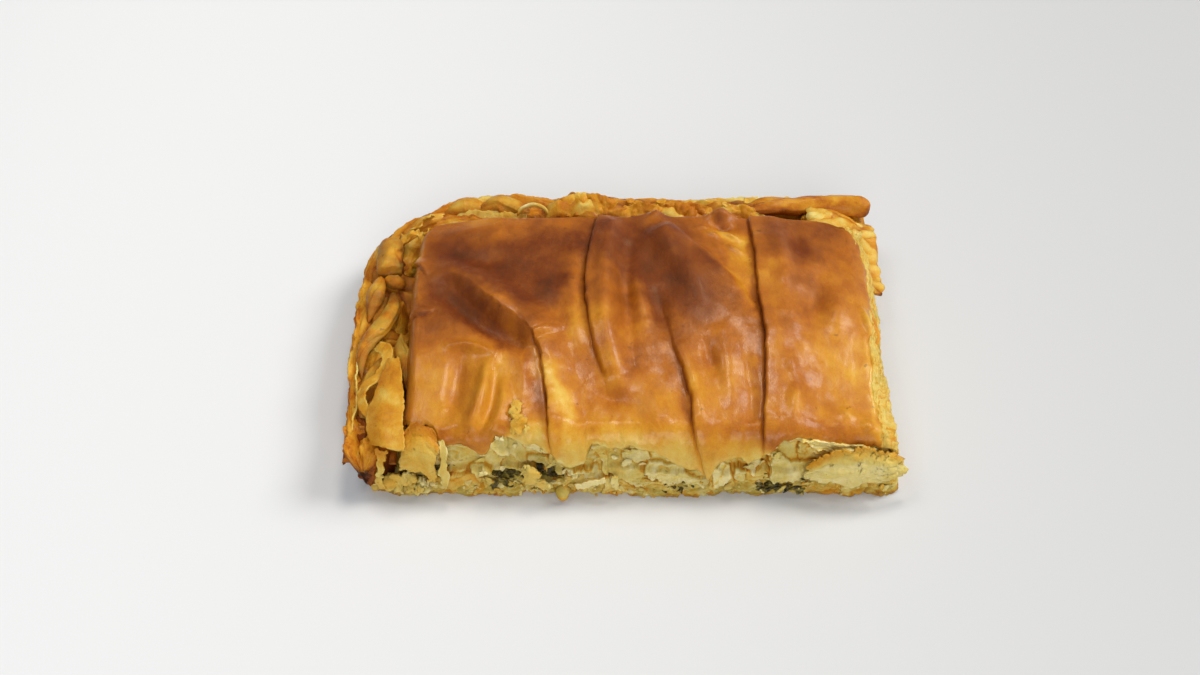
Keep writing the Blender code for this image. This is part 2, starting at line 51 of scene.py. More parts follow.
class Value:
    """One socket of a node tree. Arithmetic on it adds the Math nodes."""

    def __init__(self, tree, socket):
        self.tree, self.socket = tree, socket

    def worked(self, operation, *others):
        return self.tree.add("ShaderNodeMath", {"operation": operation}, dict(enumerate(others)))

    def __add__(self, other):
        return self.worked("ADD", self, other)

    def __radd__(self, other):
        return self.worked("ADD", other, self)

    def __sub__(self, other):
        return self.worked("SUBTRACT", self, other)

    def __rsub__(self, other):
        return self.worked("SUBTRACT", other, self)

    def __mul__(self, other):
        return self.worked("MULTIPLY", self, other)

    def __rmul__(self, other):
        return self.worked("MULTIPLY", other, self)

    def between(self, low, high):
        """0 below low and 1 above high, with a soft step from one to the other."""
        settings = {"interpolation_type": "SMOOTHSTEP"}
        return self.tree.add("ShaderNodeMapRange", settings, {0: self, 1: low, 2: high})

    def colours(self, stops):
        """The colour at this value, from stops of (place, (red, green, blue))."""
        return self.tree.add("ShaderNodeValToRGB", {"stops": stops}, {0: self})


class Finish:
    """A material. add() makes any node, with its settings first and then its sockets."""

    def __init__(self, name):
        self.material = bpy.data.materials.new(name)
        self.material.use_nodes = True
        self.nodes = self.material.node_tree.nodes
        self.links = self.material.node_tree.links
        self.shader = self.nodes["Principled BSDF"]

    def add(self, kind, settings=None, sockets=None, out=0):
        node = self.nodes.new(kind)
        for key, value in (settings or {}).items():
            if key == "stops":
                ramp = node.color_ramp
                while len(ramp.elements) < len(value):
                    ramp.elements.new(0.5)
                for element, (place, colour) in zip(ramp.elements, value):
                    element.position, element.color = place, (*colour, 1.0)
            else:
                setattr(node, key, value)
        for key, value in (sockets or {}).items():
            self.feed(node.inputs[key], value)
        return Value(self, node.outputs[out])

    def feed(self, socket, value):
        if isinstance(value, Value):
            self.links.new(value.socket, socket)
        else:
            socket.default_value = value

    def set(self, **sockets):
        for name, value in sockets.items():
            self.feed(self.shader.inputs[name.replace("_", " ")], value)

    def place(self):
        return self.add("ShaderNodeTexCoord", out="Object")

    def noise(self, size, detail=3.0, roughness=0.55, stretch=(1, 1, 1), warp=0.0):
        """Soft noise from 0 to 1, whose blotches are about size millimetres across."""
        scaled = self.add("ShaderNodeMapping", None, {0: self.place(), "Scale": stretch})
        return self.add("ShaderNodeTexNoise", None, {
            "Vector": scaled, "Scale": 1 / (size * MM), "Detail": detail,
            "Roughness": roughness, "Distortion": warp})

    def attribute(self, name):
        return self.add("ShaderNodeAttribute", {"attribute_name": name}, out="Fac")

    def blend(self, share, first, second, how="MIX"):
        settings = {"data_type": "RGBA", "blend_type": how}
        return self.add("ShaderNodeMix", settings, {0: share, 6: first, 7: second}, out=2)

    def bump(self, height, strength, distance):
        sockets = {"Height": height, "Strength": strength, "Distance": distance * MM}
        return self.add("ShaderNodeBump", None, sockets)


def linear(red, green, blue):
    """A colour as the eye names it, 0 to 255, as the light it sends back."""
    return tuple(c / 3294.6 if c < 10.3 else ((c / 255 + 0.055) / 1.055) ** 2.4 for c in (red, green, blue))


def placed(name, data):
    """A new object in the scene, made of a mesh, a lamp or a camera."""
    made = bpy.data.objects.new(name, data)
    bpy.context.scene.collection.objects.link(made)
    return made


def lamp(name, place, size, power, colour=(1, 1, 1)):
    light = bpy.data.lights.new(name, "AREA")
    light.shape, light.size, light.energy, light.color = "DISK", size, power, colour
    holder = placed(name, light)
    holder.location = place
    holder.rotation_euler = (Vector(LAMP_AIM) - Vector(place)).to_track_quat("-Z", "Y").to_euler()


def make_table():
    mesh = bpy.data.meshes.new("table_top")
    corners = [(x * TABLE_HALF, y * TABLE_HALF, 0) for x, y in ((-1, -1), (1, -1), (1, 1), (-1, 1))]
    mesh.from_pydata(corners, [], [(0, 1, 2, 3)])
    table = placed("table_top", mesh)
    matt = Finish("table")
    # The table's colour runs from pale at the left to darker grey at the right: painted shade across the
    # table.
    where = matt.add("ShaderNodeSeparateXYZ", None, {0: matt.place()})
    across = where.between(-0.25, 0.30)
    shade = matt.blend(across, (*linear(243, 243, 243), 1), (*linear(194, 194, 194), 1))
    matt.set(Base_Color=shade, Roughness=0.75, Specular_IOR_Level=0.2)
    mesh.materials.append(matt.material)


def make_light_and_camera():
    scene = bpy.context.scene
    world = bpy.data.worlds.new("room")
    world.use_nodes = True
    sky = world.node_tree.nodes["Background"]
    sky.inputs["Color"].default_value = (0.86, 0.98, 1.16, 1)
    sky.inputs["Strength"].default_value = 0.15
    scene.world = world
    lamp("window_right", (1.05, 0.35, 1.10), 0.8, 14.5, (1.0, 0.99, 0.97))
    lamp("panel_left", (-0.62, 0.28, 1.42), 0.6, 4.0, (0.96, 0.99, 1.0))
    lamp("panel_above", (0.12, 0.46, 1.30), 0.40, 5.2, (1.0, 0.92, 0.80))
    lamp("panel_front", (0.10, -1.25, 0.75), 0.9, 9.0)
    camera = placed("camera", bpy.data.cameras.new("camera"))
    camera.location = (np.array((-7.5, -266.5, 275.0)) - MIDDLE) * MM
    camera.rotation_euler = (math.radians(45), 0, 0)
    camera.data.sensor_width, camera.data.lens = 36, 39
    camera.data.clip_start = 0.01
    scene.camera = camera
    scene.view_settings.view_transform = "Standard"


make_table()
make_light_and_camera()


# The base sheets and the pan wall
# Sheets of filo lined the tray: they bake flat below, and lean out against the pan's sides.
# The sheets are brushed with oil, so they brown where they touch the metal.
FRONT_CUT = -50.5
RIGHT_CUT_FRONT, RIGHT_CUT_BACK, RIGHT_CORNER_POINT = 72.0, 76.4, 1.6
PAN_FOOT_LEFT, PAN_FOOT_BACK, PAN_CORNER_RADIUS = -69.4, 42.6, 20.0
BASE_THICKNESS, BASE_BEHIND_CUT = 3.2, 2.2
WALL_SECTION = (
    (-5.6, 1.2), (0.6, 0.5), (2.6, 2.0), (4.6, 5.0), (6.6, 8.6), (8.2, 11.6), (8.9, 13.4), (8.3, 14.7),
    (6.4, 14.0), (4.0, 13.2), (1.0, 13.4), (-2.0, 13.0), (-4.2, 11.8), (-5.4, 9.0), (-5.6, 5.0),
)
SECTION_STEPS = 90
CREAM, PALE, STRAW = linear(248, 230, 164), linear(230, 205, 112), linear(226, 182, 76)
GOLD, AMBER, ORANGE = linear(216, 152, 38), linear(200, 126, 22), linear(177, 98, 14)
CHESTNUT, BROWN, DARK = linear(147, 76, 14), linear(118, 52, 9), linear(70, 33, 14)
BAKED = (
    (0.0, CREAM), (0.12, PALE), (0.24, STRAW), (0.36, GOLD), (0.48, AMBER), (0.60, ORANGE),
    (0.72, CHESTNUT), (0.84, BROWN), (1.0, DARK),
)
ABOVE_TABLE = 0.02    # nothing reaches lower than this


def smooth(low, high, value):
    share = np.clip((value - low) / (high - low), 0, 1)
    return share * share * (3 - 2 * share)


def bell(value, width):
    """1 at zero, fading away on both sides."""
    return np.exp(-((value / width) ** 2))


def relief(x, y, size, seed):
    """Smooth random bumps from about -1 to 1 that are about size across."""
    table = np.random.default_rng(seed).uniform(-1, 1, (64, 64))
    c, s = math.cos(0.4 + 1.3 * seed), math.sin(0.4 + 1.3 * seed)
    u, v = (np.asarray(x, float) * c - y * s) / size, (np.asarray(x, float) * s + y * c) / size
    i, j = np.floor(u).astype(int), np.floor(v).astype(int)
    s, t = u - i, v - j
    s, t = s * s * (3 - 2 * s), t * t * (3 - 2 * t)
    near = table[i % 64, j % 64] * (1 - s) + table[(i + 1) % 64, j % 64] * s
    far = table[i % 64, (j + 1) % 64] * (1 - s) + table[(i + 1) % 64, (j + 1) % 64] * s
    return near * (1 - t) + far * t


def rough(x, y, size, seed, layers=3):
    """Bumps on bumps: each layer is half the size and a little over half the height."""
    return sum(relief(x, y, size / 2**k, seed + 7 * k) * 0.55**k for k in range(layers))


def plates(x, y, size, tall, step, seed):
    """Broken layers: heights in small steps, how near each torn edge is, and the shade below it. Callers
    paint that shade into the colour as painted shade, and make the torn edges paler as painted highlight.
    """
    bent = 0.3 * size * rough(x, y, size, seed + 50, 2)
    broad = rough(x * 0.5 + bent, y + 0.5 * bent, size, seed, 2)
    level = tall * (broad + 0.08 * rough(x, y, size / 3, seed + 60, 2)) / step
    share = level - np.floor(level)
    edge = bell(share - 0.30, 0.16)
    height = (np.floor(level) + smooth(0, 0.24, share) + 0.35 * edge) * step
    return height, edge, smooth(0.72, 1.0, share)


def torn(along, size, seed):
    """A torn edge: straight pieces about size long between random points, -1 to 1."""
    table = np.random.default_rng(seed).uniform(-1, 1, 256)
    place = np.asarray(along, float) / size
    k = np.floor(place).astype(int)
    share = place - k
    return table[k % 256] * (1 - share) + table[(k + 1) % 256] * share


def through(points, steps):
    """A smooth curve through the points."""
    known = np.array(points, float)
    padded = np.vstack([2 * known[0] - known[1], known, 2 * known[-1] - known[-2]])
    rows = []
    for place in np.linspace(0, len(known) - 1, steps):
        k = min(int(place), len(known) - 2)
        t = place - k
        a, b, c, d = padded[k : k + 4]
        bend = (2 * a - 5 * b + 4 * c - d) * t**2 + (3 * b - a - 3 * c + d) * t**3
        rows.append(0.5 * (2 * b + (c - a) * t + bend))
    return np.array(rows)


def lengths(line):
    """How far along a line each of its points lies."""
    return np.concatenate([[0], np.cumsum(np.linalg.norm(np.diff(line, axis=0), axis=1))])


def facing(sheet):
    """The direction that a sheet faces at each of its points."""
    normal = np.cross(np.gradient(sheet, axis=1), np.gradient(sheet, axis=0))
    return normal / np.maximum(np.linalg.norm(normal, axis=-1, keepdims=True), 1e-9)


def front_edge(x):
    return FRONT_CUT + 0.9 * relief(x, 0 * x, 9, 3) + 0.5 * relief(x, 0 * x, 3, 4)


def right_cut(y):
    """Where the knife went at the right, which isn't quite square to the front cut."""
    cut = RIGHT_CUT_FRONT + (RIGHT_CUT_BACK - RIGHT_CUT_FRONT) * smooth(-40, 30, y)
    return cut + RIGHT_CORNER_POINT * smooth(-40, -48, y)


def right_edge(y):
    return right_cut(y) + 0.9 * relief(y, 0 * y, 8, 5) + 0.4 * relief(y, 0 * y, 2.5, 6)


def grid(rows, columns, start=0, around=False):
    """Faces of a grid of points; around closes each row into a ring."""
    index = start + np.arange(rows * columns).reshape(rows, columns)
    if around:
        index = np.hstack([index, index[:, :1]])
    a, b, c, d = index[:-1, :-1], index[:-1, 1:], index[1:, 1:], index[1:, :-1]
    return np.stack([a, b, c, d], -1).reshape(-1, 4)


def edge_ring(rows, columns):
    """The points along the edge of a grid, in order."""
    index = np.arange(rows * columns).reshape(rows, columns)
    return np.concatenate([index[0, :], index[1:, -1], index[-1, -2::-1], index[-2:0:-1, 0]])


def kept(name, mesh, node):
    """One piece of the portion: it stands still, and takes the place of its node."""
    mesh.shade_smooth()
    made = placed(name, mesh)
    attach(made, "root")
    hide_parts(node)


class Shape:
    """Points in millimetres and faces, with how baked and how olive each point is; the bake also carries
    painted shade and painted highlight.
    """

    def __init__(self):
        self.points, self.faces, self.bake, self.green, self.count = [], [], [], [], 0

    def add(self, points, faces, bake=0.3, green=0.0):
        points = np.array(points, float).reshape(-1, 3)
        points[:, 2] = np.maximum(points[:, 2], ABOVE_TABLE)
        self.points.append(points)
        self.faces.extend((np.asarray(face) + self.count).tolist() for face in faces)
        self.bake.append(np.broadcast_to(np.ravel(bake), len(points)))
        self.green.append(np.broadcast_to(np.ravel(green), len(points)))
        self.count += len(points)

    def layer(self, top, below, bake, green=0.0):
        """Two matching grids of points, one above the other, closed all round."""
        rows, columns = top.shape[:2]
        count = rows * columns
        ring = edge_ring(rows, columns)
        onward = np.roll(ring, -1)
        skirt = np.stack([onward, ring, ring + count, onward + count], -1)
        faces = np.vstack([grid(rows, columns), grid(rows, columns, count)[:, ::-1], skirt])
        bake, green = (np.tile(np.broadcast_to(v, (rows, columns)).ravel(), 2) for v in (bake, green))
        self.add(np.vstack([top.reshape(-1, 3), below.reshape(-1, 3)]), faces, bake, green)

    def leaf(self, sheet, thickness, bake, green):
        """A thin sheet over a grid of points."""
        self.layer(sheet, sheet - facing(sheet) * thickness, bake, green)

    def plate(self, top, below, step, bake, green=0.0):
        """A closed sheet with a fine grid above and a coarser one, every step-th point, below."""
        rows, columns = top.shape[:2]
        count = rows * columns
        index = np.arange(count).reshape(rows, columns)
        under = count + np.arange(below.shape[0] * below.shape[1]).reshape(below.shape[:2])
        faces = grid(rows, columns).tolist() + grid(*below.shape[:2], count)[:, ::-1].tolist()
        for fine, coarse, turned in (
                (index[0], under[0], False), (index[-1], under[-1], True),
                (index[:, 0], under[:, 0], True), (index[:, -1], under[:, -1], False)):
            for k in range(len(coarse) - 1):
                strip = [*fine[k * step : (k + 1) * step + 1], coarse[k + 1], coarse[k]]
                faces.append([int(v) for v in (strip if turned else strip[::-1])])
        bake, green = (np.broadcast_to(v, (rows, columns)) for v in (bake, green))
        bake, green = (np.concatenate([v.ravel(), v[::step, ::step].ravel()]) for v in (bake, green))
        self.add(np.vstack([top.reshape(-1, 3), below.reshape(-1, 3)]), faces, bake, green)

    def tube(self, curve, ring_at, sides, bake_at, green):
        """A closed tube along a curve. ring_at(share, angle) gives its radius across and upwards."""
        ahead = np.gradient(curve, axis=0)
        ahead /= np.linalg.norm(ahead, axis=1, keepdims=True)
        across = np.cross(ahead, (0, 0, 1))
        across /= np.linalg.norm(across, axis=1, keepdims=True)
        upward = np.cross(across, ahead)
        angle = np.linspace(0, 2 * math.pi, sides, endpoint=False)
        rings = []
        for k, centre in enumerate(curve):
            wide, tall = ring_at(k / (len(curve) - 1), angle)
            sideways = np.outer(wide * np.cos(angle), across[k])
            rings.append(centre + sideways + np.outer(tall * np.sin(angle), upward[k]))
        points = np.vstack([*rings, curve[:1], curve[-1:]])
        body = len(curve) * sides
        faces = grid(len(curve), sides, around=True)[:, ::-1].tolist()
        for j in range(sides):
            n = (j + 1) % sides
            faces.append((body, j, n))
            faces.append((body + 1, body - sides + n, body - sides + j))
        self.add(points, faces, bake_at(points), green)

    def mesh(self, name):
        made = bpy.data.meshes.new(name)
        made.from_pydata(((np.vstack(self.points) - MIDDLE) * MM).tolist(), [], self.faces)
        return made

    def piece(self, name, finish, node):
        mesh = self.mesh(name)
        for label, values in (("bake", self.bake), ("green", self.green)):
            layer = mesh.attributes.new(label, "FLOAT", "POINT")
            layer.data.foreach_set("value", np.concatenate(values).astype(np.float32))
        mesh.materials.append(finish.material)
        kept(name, mesh, node)


def filo_finish(name, gloss, blotch, grain, wrinkle):
    """Baked filo: its colour runs from cream to dark brown with the bake of each point, which also carries
    the painted shade and painted highlight laid in by the pieces.
    """
    filo = Finish(name)
    soft = filo.noise(7, 5, 0.65)
    fine = filo.noise(0.6, 4, 0.7)
    speck = filo.noise(0.30, 2, 0.5)
    creases = filo.noise(1.7, 5, 0.75, stretch=(1.0, 0.5, 1.0), warp=1.0)
    bake = filo.attribute("bake") + (soft - 0.5) * blotch
    bake = bake + (creases - 0.5) * (0.8 * blotch) + (speck - 0.5) * grain
    colour = bake.colours(BAKED)
    green = filo.attribute("green") * filo.noise(4, 3).between(0.30, 0.66)
    colour = filo.blend(green * 0.85, colour, (*linear(176, 156, 66), 1))
    dots = filo.noise(2.3, 1, 0.5).between(0.74, 0.79)
    colour = filo.blend(dots * 0.45, colour, (*linear(86, 44, 16), 1))
    height = creases * 0.9 + fine * 0.6 + speck * 0.3
    shine = (filo.noise(3.5, 3, 0.6) - 0.5) * 0.20 + (0.66 - 0.24 * gloss)
    filo.set(Base_Color=colour, Roughness=shine, Normal=filo.bump(height, wrinkle, 0.5))
    oil = filo.noise(5.0, 3, 0.6).between(0.30, 0.62) * (1 - bake.between(0.58, 0.80) * 0.8)
    filo.set(Coat_Weight=oil * (0.72 * (gloss - 0.25)), Coat_Roughness=0.22, Coat_IOR=1.42)
    filo.set(Specular_IOR_Level=0.16 + 0.22 * gloss, Specular_Tint=(1.0, 0.76, 0.46, 1))
    filo.set(Subsurface_Weight=0.06, Subsurface_Radius=(1.0, 0.5, 0.2), Subsurface_Scale=MM)
    return filo


dry_filo = filo_finish("golden_filo", gloss=0.55, blotch=0.32, grain=0.14, wrinkle=0.50)


def pan_corner_line(steps):
    """Foot of the pan's wall, from the front end of the left side round to the right end."""
    middle = np.array((PAN_FOOT_LEFT + PAN_CORNER_RADIUS, PAN_FOOT_BACK - PAN_CORNER_RADIUS))
    turn = np.linspace(math.pi, math.pi / 2, 24)
    arc = middle + PAN_CORNER_RADIUS * np.stack([np.cos(turn), np.sin(turn)], -1)
    start = np.array([(PAN_FOOT_LEFT + 0.8, FRONT_CUT + 0.2)])
    end = np.array([(RIGHT_CUT_BACK - 0.8, PAN_FOOT_BACK)])
    line = np.vstack([start, arc, end])
    far = lengths(line)
    places = np.linspace(0, far[-1], steps)
    return np.stack([np.interp(places, far, line[:, 0]), np.interp(places, far, line[:, 1])], -1), places


SHEET_LEVELS = (0, 0.25, 0.5, 0.75, 1)    # rings of points up the edge of a bottom sheet


def add_base_sheets(shape):
    """Three bottom sheets, broken off unevenly at the two cuts."""
    corner, _ = pan_corner_line(90)
    for layer, (low, high) in enumerate(((0.0, 1.3), (1.1, 2.3), (2.1, 3.25))):
        x = np.linspace(PAN_FOOT_LEFT + 1.5, RIGHT_CUT_FRONT - BASE_BEHIND_CUT, 300)
        y = np.linspace(FRONT_CUT, PAN_FOOT_BACK, 190)
        rag = 0.9 * torn(x + 31 * layer, 3.1, 70 + layer) + 0.45 * torn(x, 0.9, 75 + layer)
        side_rag = 0.6 * torn(y + 17 * layer, 2.6, 80 + layer) + 0.3 * torn(y, 0.9, 85 + layer)
        along_front = np.stack([x, front_edge(x + 40) + 1.2 + 0.4 * layer + rag], -1)
        right = right_edge(y) - BASE_BEHIND_CUT - 1.0 - 0.4 * layer + side_rag
        along_right = np.stack([right, y], -1)[1:-1]
        outline = np.vstack([along_front, along_right, corner[1:-1][::-1]])
        outward = np.roll(outline, -1, 0) - np.roll(outline, 1, 0)
        outward = np.stack([outward[:, 1], -outward[:, 0]], -1)
        outward /= np.maximum(np.linalg.norm(outward, axis=1, keepdims=True), 1e-6)
        far = np.cumsum(np.linalg.norm(outline - np.roll(outline, 1, 0), axis=1))
        rows = []
        for share in SHEET_LEVELS:
            swell = 0.45 * math.sin(math.pi * share) + 0.12 * relief(far, share * 3, 0.9, 90 + layer)
            if layer == 0 and share == 0:
                swell = swell - 0.3
            level = low + (high - low) * share + 0.12 * relief(far, 0 * far, 2.1, 95 + layer) * (share > 0)
            rows.append(np.column_stack([outline + outward * np.reshape(swell, (-1, 1)), level]))
        count = len(outline)
        body = len(SHEET_LEVELS) * count
        faces = grid(len(SHEET_LEVELS), count, around=True).tolist()
        points = np.vstack([*rows, [[0, 0, low], [0, 0, high]]])
        for k in range(count):
            n = (k + 1) % count
            faces.append((body, n, k))
            faces.append((body + 1, body - count + k, body - count + n))
        bake = 0.16 + 0.20 * (layer == 0) + 0.20 * rough(points[:, 0], points[:, 1], 5, 97 + layer)
        shape.add(points, faces, bake, 0.3)


def add_pan_wall(shape):
    """Pastry that stood against the pan: creased outside, with a bed of folded sheets inside."""
    line, places = pan_corner_line(420)
    onward = np.gradient(line, axis=0)
    outward = np.stack([-onward[:, 1], onward[:, 0]], -1)
    outward /= np.linalg.norm(outward, axis=1, keepdims=True)
    closed = np.vstack([WALL_SECTION, WALL_SECTION[:1]])
    section = through(closed, SECTION_STEPS + 1)[:-1]
    behind = smooth(75, 110, places)
    flare = 1.04 - 0.36 * smooth(60, 0, places) - 0.55 * bell(places - 94, 10)
    tall = 1 + 0.10 * relief(places, 0 * places, 23, 41) + 0.22 * behind
    out, up = section[:, 0][None, :], section[:, 1][None, :]
    far = places[:, None]
    around = np.arange(SECTION_STEPS)[None, :] * 0.7
    upper = smooth(1.0, 5.0, up)
    ledges, torn_edge, shade = plates(far * 0.5, around, 5, 1.0, 0.4, 45)
    crushed = smooth(20, 4, far)
    crease = (0.35 * relief(far, around, 3.2, 42) + 0.18 * rough(far, around * 1.3, 1.6, 44)) * upper
    crease = crease + (0.22 * ledges + crushed * (0.7 * rough(far, around, 4, 48) - 0.3)) * upper
    stretch = np.where(out > 0, flare[:, None], 1 - 0.4 * behind[:, None])
    reach = out * stretch + crease + 0.6 * relief(far, 0 * far, 11, 43) * smooth(4, 8, up) * (out > 0)
    rise = np.where(up > 2, up * tall[:, None], up) + 1.4 * crease
    rise = np.maximum(rise, 0.15)
    from_end = np.minimum(far, far[-1] - far)
    closing = np.sqrt(np.clip(1 - (1 - np.clip(from_end / 4.5, 0, 1)) ** 2, 0.04, 1))
    reach, rise = 1.0 + (reach - 1.0) * closing, 7.0 + (rise - 7.0) * (0.25 + 0.75 * closing)
    plan = line[:, None, :] + outward[:, None, :] * reach[..., None]
    points = np.concatenate([plan, rise[..., None]], -1)
    rows, columns = points.shape[:2]
    faces = grid(rows, columns, around=True).tolist()
    faces.append(tuple(range(columns)))
    faces.append(tuple(reversed(range((rows - 1) * columns, rows * columns))))
    outside = smooth(0, 3, out) * smooth(15, 3, up)
    bake = 0.36 + (0.40 + 0.20 * smooth(110, 90, far)) * outside
    bake = bake + 0.42 * smooth(16, 3, far) * smooth(15, 6, up) + 0.20 * rough(far, around, 8, 46)
    # painted shade below the torn ledges, and painted highlight on their paler torn edges
    bake = bake + 0.12 * shade - 0.05 * torn_edge + 0.12 * bell(far - 85, 28)
    shape.add(points.reshape(-1, 3), faces, bake.ravel(), 0.0)


FOOT_STEP = 0.30    # between the points along the torn ends of the base sheets


def add_broken_foot(shape):
    """The torn ends of the base sheets along the two cuts, one above another."""
    front_x = np.arange(-66.5, RIGHT_CUT_FRONT - 1.0, FOOT_STEP)
    right_y = np.arange(FRONT_CUT + 2.4, 40, FOOT_STEP)
    x = np.concatenate([front_x, right_cut(right_y) - 2.2])
    y = np.concatenate([0 * front_x + FRONT_CUT + 1.1 + 2.0 * smooth(-62, -67, front_x), right_y])
    line = np.stack([np.convolve(np.pad(v, 3, "edge"), np.ones(7) / 7, "valid") for v in (x, y)], -1)
    onward = np.gradient(line, axis=0)
    outward = np.stack([onward[:, 1], -onward[:, 0]], -1)
    outward /= np.linalg.norm(outward, axis=1, keepdims=True)
    far = np.arange(len(line)) * FOOT_STEP
    across, level = np.meshgrid(far, np.linspace(0.05, 4.8, 30))
    stack, torn_edge, shade = plates(across * 0.8, level, 3.6, 1.0, 0.35, 51)
    stack = 0.8 * stack + 0.7 * rough(across, 0 * level, 9, 49, 2) - 0.5
    bake = 0.17 + 0.08 * rough(across, level, 3, 52)
    for k, top in enumerate((4.3, 3.5, 2.7, 1.9, 1.2, 0.6)):
        edge = top + 0.8 * torn(across, 3.1, 53 + k) + 0.5 * torn(across, 1.0, 60 + k) - level
        over = smooth(-0.08, 0.10, edge) * smooth(-0.9, 0.3, rough(across, 0 * level, 7, 67 + k))
        stack += over * (0.38 + 0.3 * bell(edge, 0.5) + 0.22 * rough(across, level, 1.8, 74 + k))
        # The lowest sheet is dark brown: partly the bottom crust's own browning, partly a painted contact
        # shade at the table.
        tone = (0.06, 0.16, 0.05, 0.14, 0.10, 0.56)[k] + 0.08 * rough(across, level, 2.5, 81 + k)
        # Just below each sheet's edge the colour darkens: painted shade under the edge.
        bake += (tone - bake) * over + 0.13 * bell(np.maximum(-edge, 0), 0.3) * (1 - over)
    # painted shade below the torn ledges, and painted highlight on their paler torn edges
    bake = bake - 0.06 * torn_edge + 0.16 * shade
    plan = line[None, :, :] + outward[None, :, :] * stack[..., None]
    shape.leaf(np.concatenate([plan, level[..., None]], -1), 0.8, bake, 0.8)


tray_shape = Shape()
add_base_sheets(tray_shape)
add_broken_foot(tray_shape)
add_pan_wall(tray_shape)
tray_shape.piece("base_sheets_and_pan_wall", dry_filo, "bottom_crust")


# The rolled rim
# The overhanging edges of the sheets are rolled and folded inwards by hand on top of the wall.
# They bake hard and golden, and open up or break into flakes.

# Rolls: centre line, radius at its start, middle and end, height over width, turns, bake,
# how olive it is, and how blunt its ends are
ROLLS = (
    (((-70.6, 32.8, 15.0), (-70.2, 26, 16.2), (-69.6, 19.2, 15.6)), (3.3, 3.6, 3.6),
     0.9, 0.05, 0.44, 0.5, 22),
    (((-65.0, 16.6, 13.8), (-68.0, 16.4, 15.4), (-71.2, 18.0, 14.4)), (1.7, 2.3, 1.7),
     0.8, 0.3, 0.52, 0.4, 5),
    (((-72.2, 18.6, 15.4), (-72.8, 9, 16.6), (-73.9, 0.5, 14.2)), (1.4, 2.7, 0.8),
     0.85, 0.4, 0.45, 0.35, 3),
    (((-68.4, 13.4, 13.8), (-67.3, 5, 15.6), (-68.8, -2.6, 16.2), (-71.8, -8.6, 16.4),
      (-73.6, -14.5, 15.8), (-73.2, -21, 13.6)), (1.9, 2.6, 0.9), 0.75, 0.5, 0.42, 0.55, 4),
    (((-63.8, -5.0, 15.4), (-63.0, -12, 16.2), (-60.9, -17.5, 15.2), (-59.6, -27, 13.4)), (0.5, 2.4, 1.0),
     0.8, 0.2, 0.40, 0.6, 2.4),
    (((-68.0, -14.5, 15.0), (-70.5, -22, 14.6), (-71.5, -31, 13.4), (-70, -41, 11.6)), (1.3, 2.0, 1.2),
     0.8, 0.4, 0.48, 0.5, 4),
    (((-75.2, 13, 12.8), (-75.9, 0, 13.2), (-75.0, -13, 13.2)), (1.0, 1.7, 1.0), 0.9, 0.3, 0.40, 0.3, 3),
    (((-70.4, 12, 13.0), (-70.8, 2, 13.6), (-72.4, -7, 13.4)), (1.2, 2.0, 1.2), 0.8, 0.2, 0.50, 0.5, 4),
    (((-69.4, 33.5, 13.4), (-65.5, 38.6, 15.0), (-60, 43.0, 16.0), (-53.5, 46.4, 15.8)), (1.8, 2.5, 1.9),
     0.9, 0.5, 0.36, 0.3, 4),
    (((-56.0, 45.0, 15.6), (-49.5, 47.8, 17.8), (-42.5, 47.2, 16.8)), (1.8, 3.2, 2.2),
     0.95, 0.3, 0.37, 0.4, 4),
    (((-46.0, 45.6, 16.4), (-38.0, 47.8, 18.4), (-29.0, 46.0, 16.6)), (2.0, 3.5, 2.0),
     0.95, 0.3, 0.38, 0.4, 4),
    (((37.5, 44.6, 17.6), (46, 46.4, 18.8), (58, 47.2, 18.8), (69, 47.2, 18.9), (76.2, 46.6, 18.3)),
     (1.6, 3.3, 3.7), 0.9, 0.12, 0.43, 0.0, 9),
    (((33, 48.5, 16.0), (44, 49.8, 17.6), (56, 49.8, 17.6)), (1.4, 2.2, 1.3), 0.9, 0.3, 0.40, 0.2, 4),
)
# The crumb at the foot of the front cut
CRUMB = (
    ((-17.3, -49.2, 1.7), (-17.4, -51.4, 1.9), (-17.4, -54.0, 1.5)), (1.6, 2.0, 1.3),
    0.85, 0.2, 0.08, 0.8, 4,
)
# The thin ring of pale sheet that sticks up behind the lid
RING = (
    ((-33.0, 42.6, 18.8), (-31.4, 44.0, 20.6), (-27.8, 44.6, 21.6), (-24.6, 43.6, 20.8),
     (-22.8, 41.8, 19.0)), (0.45, 0.55, 0.45), 1.3, 0.1, 0.08, 0.3, 8,
)

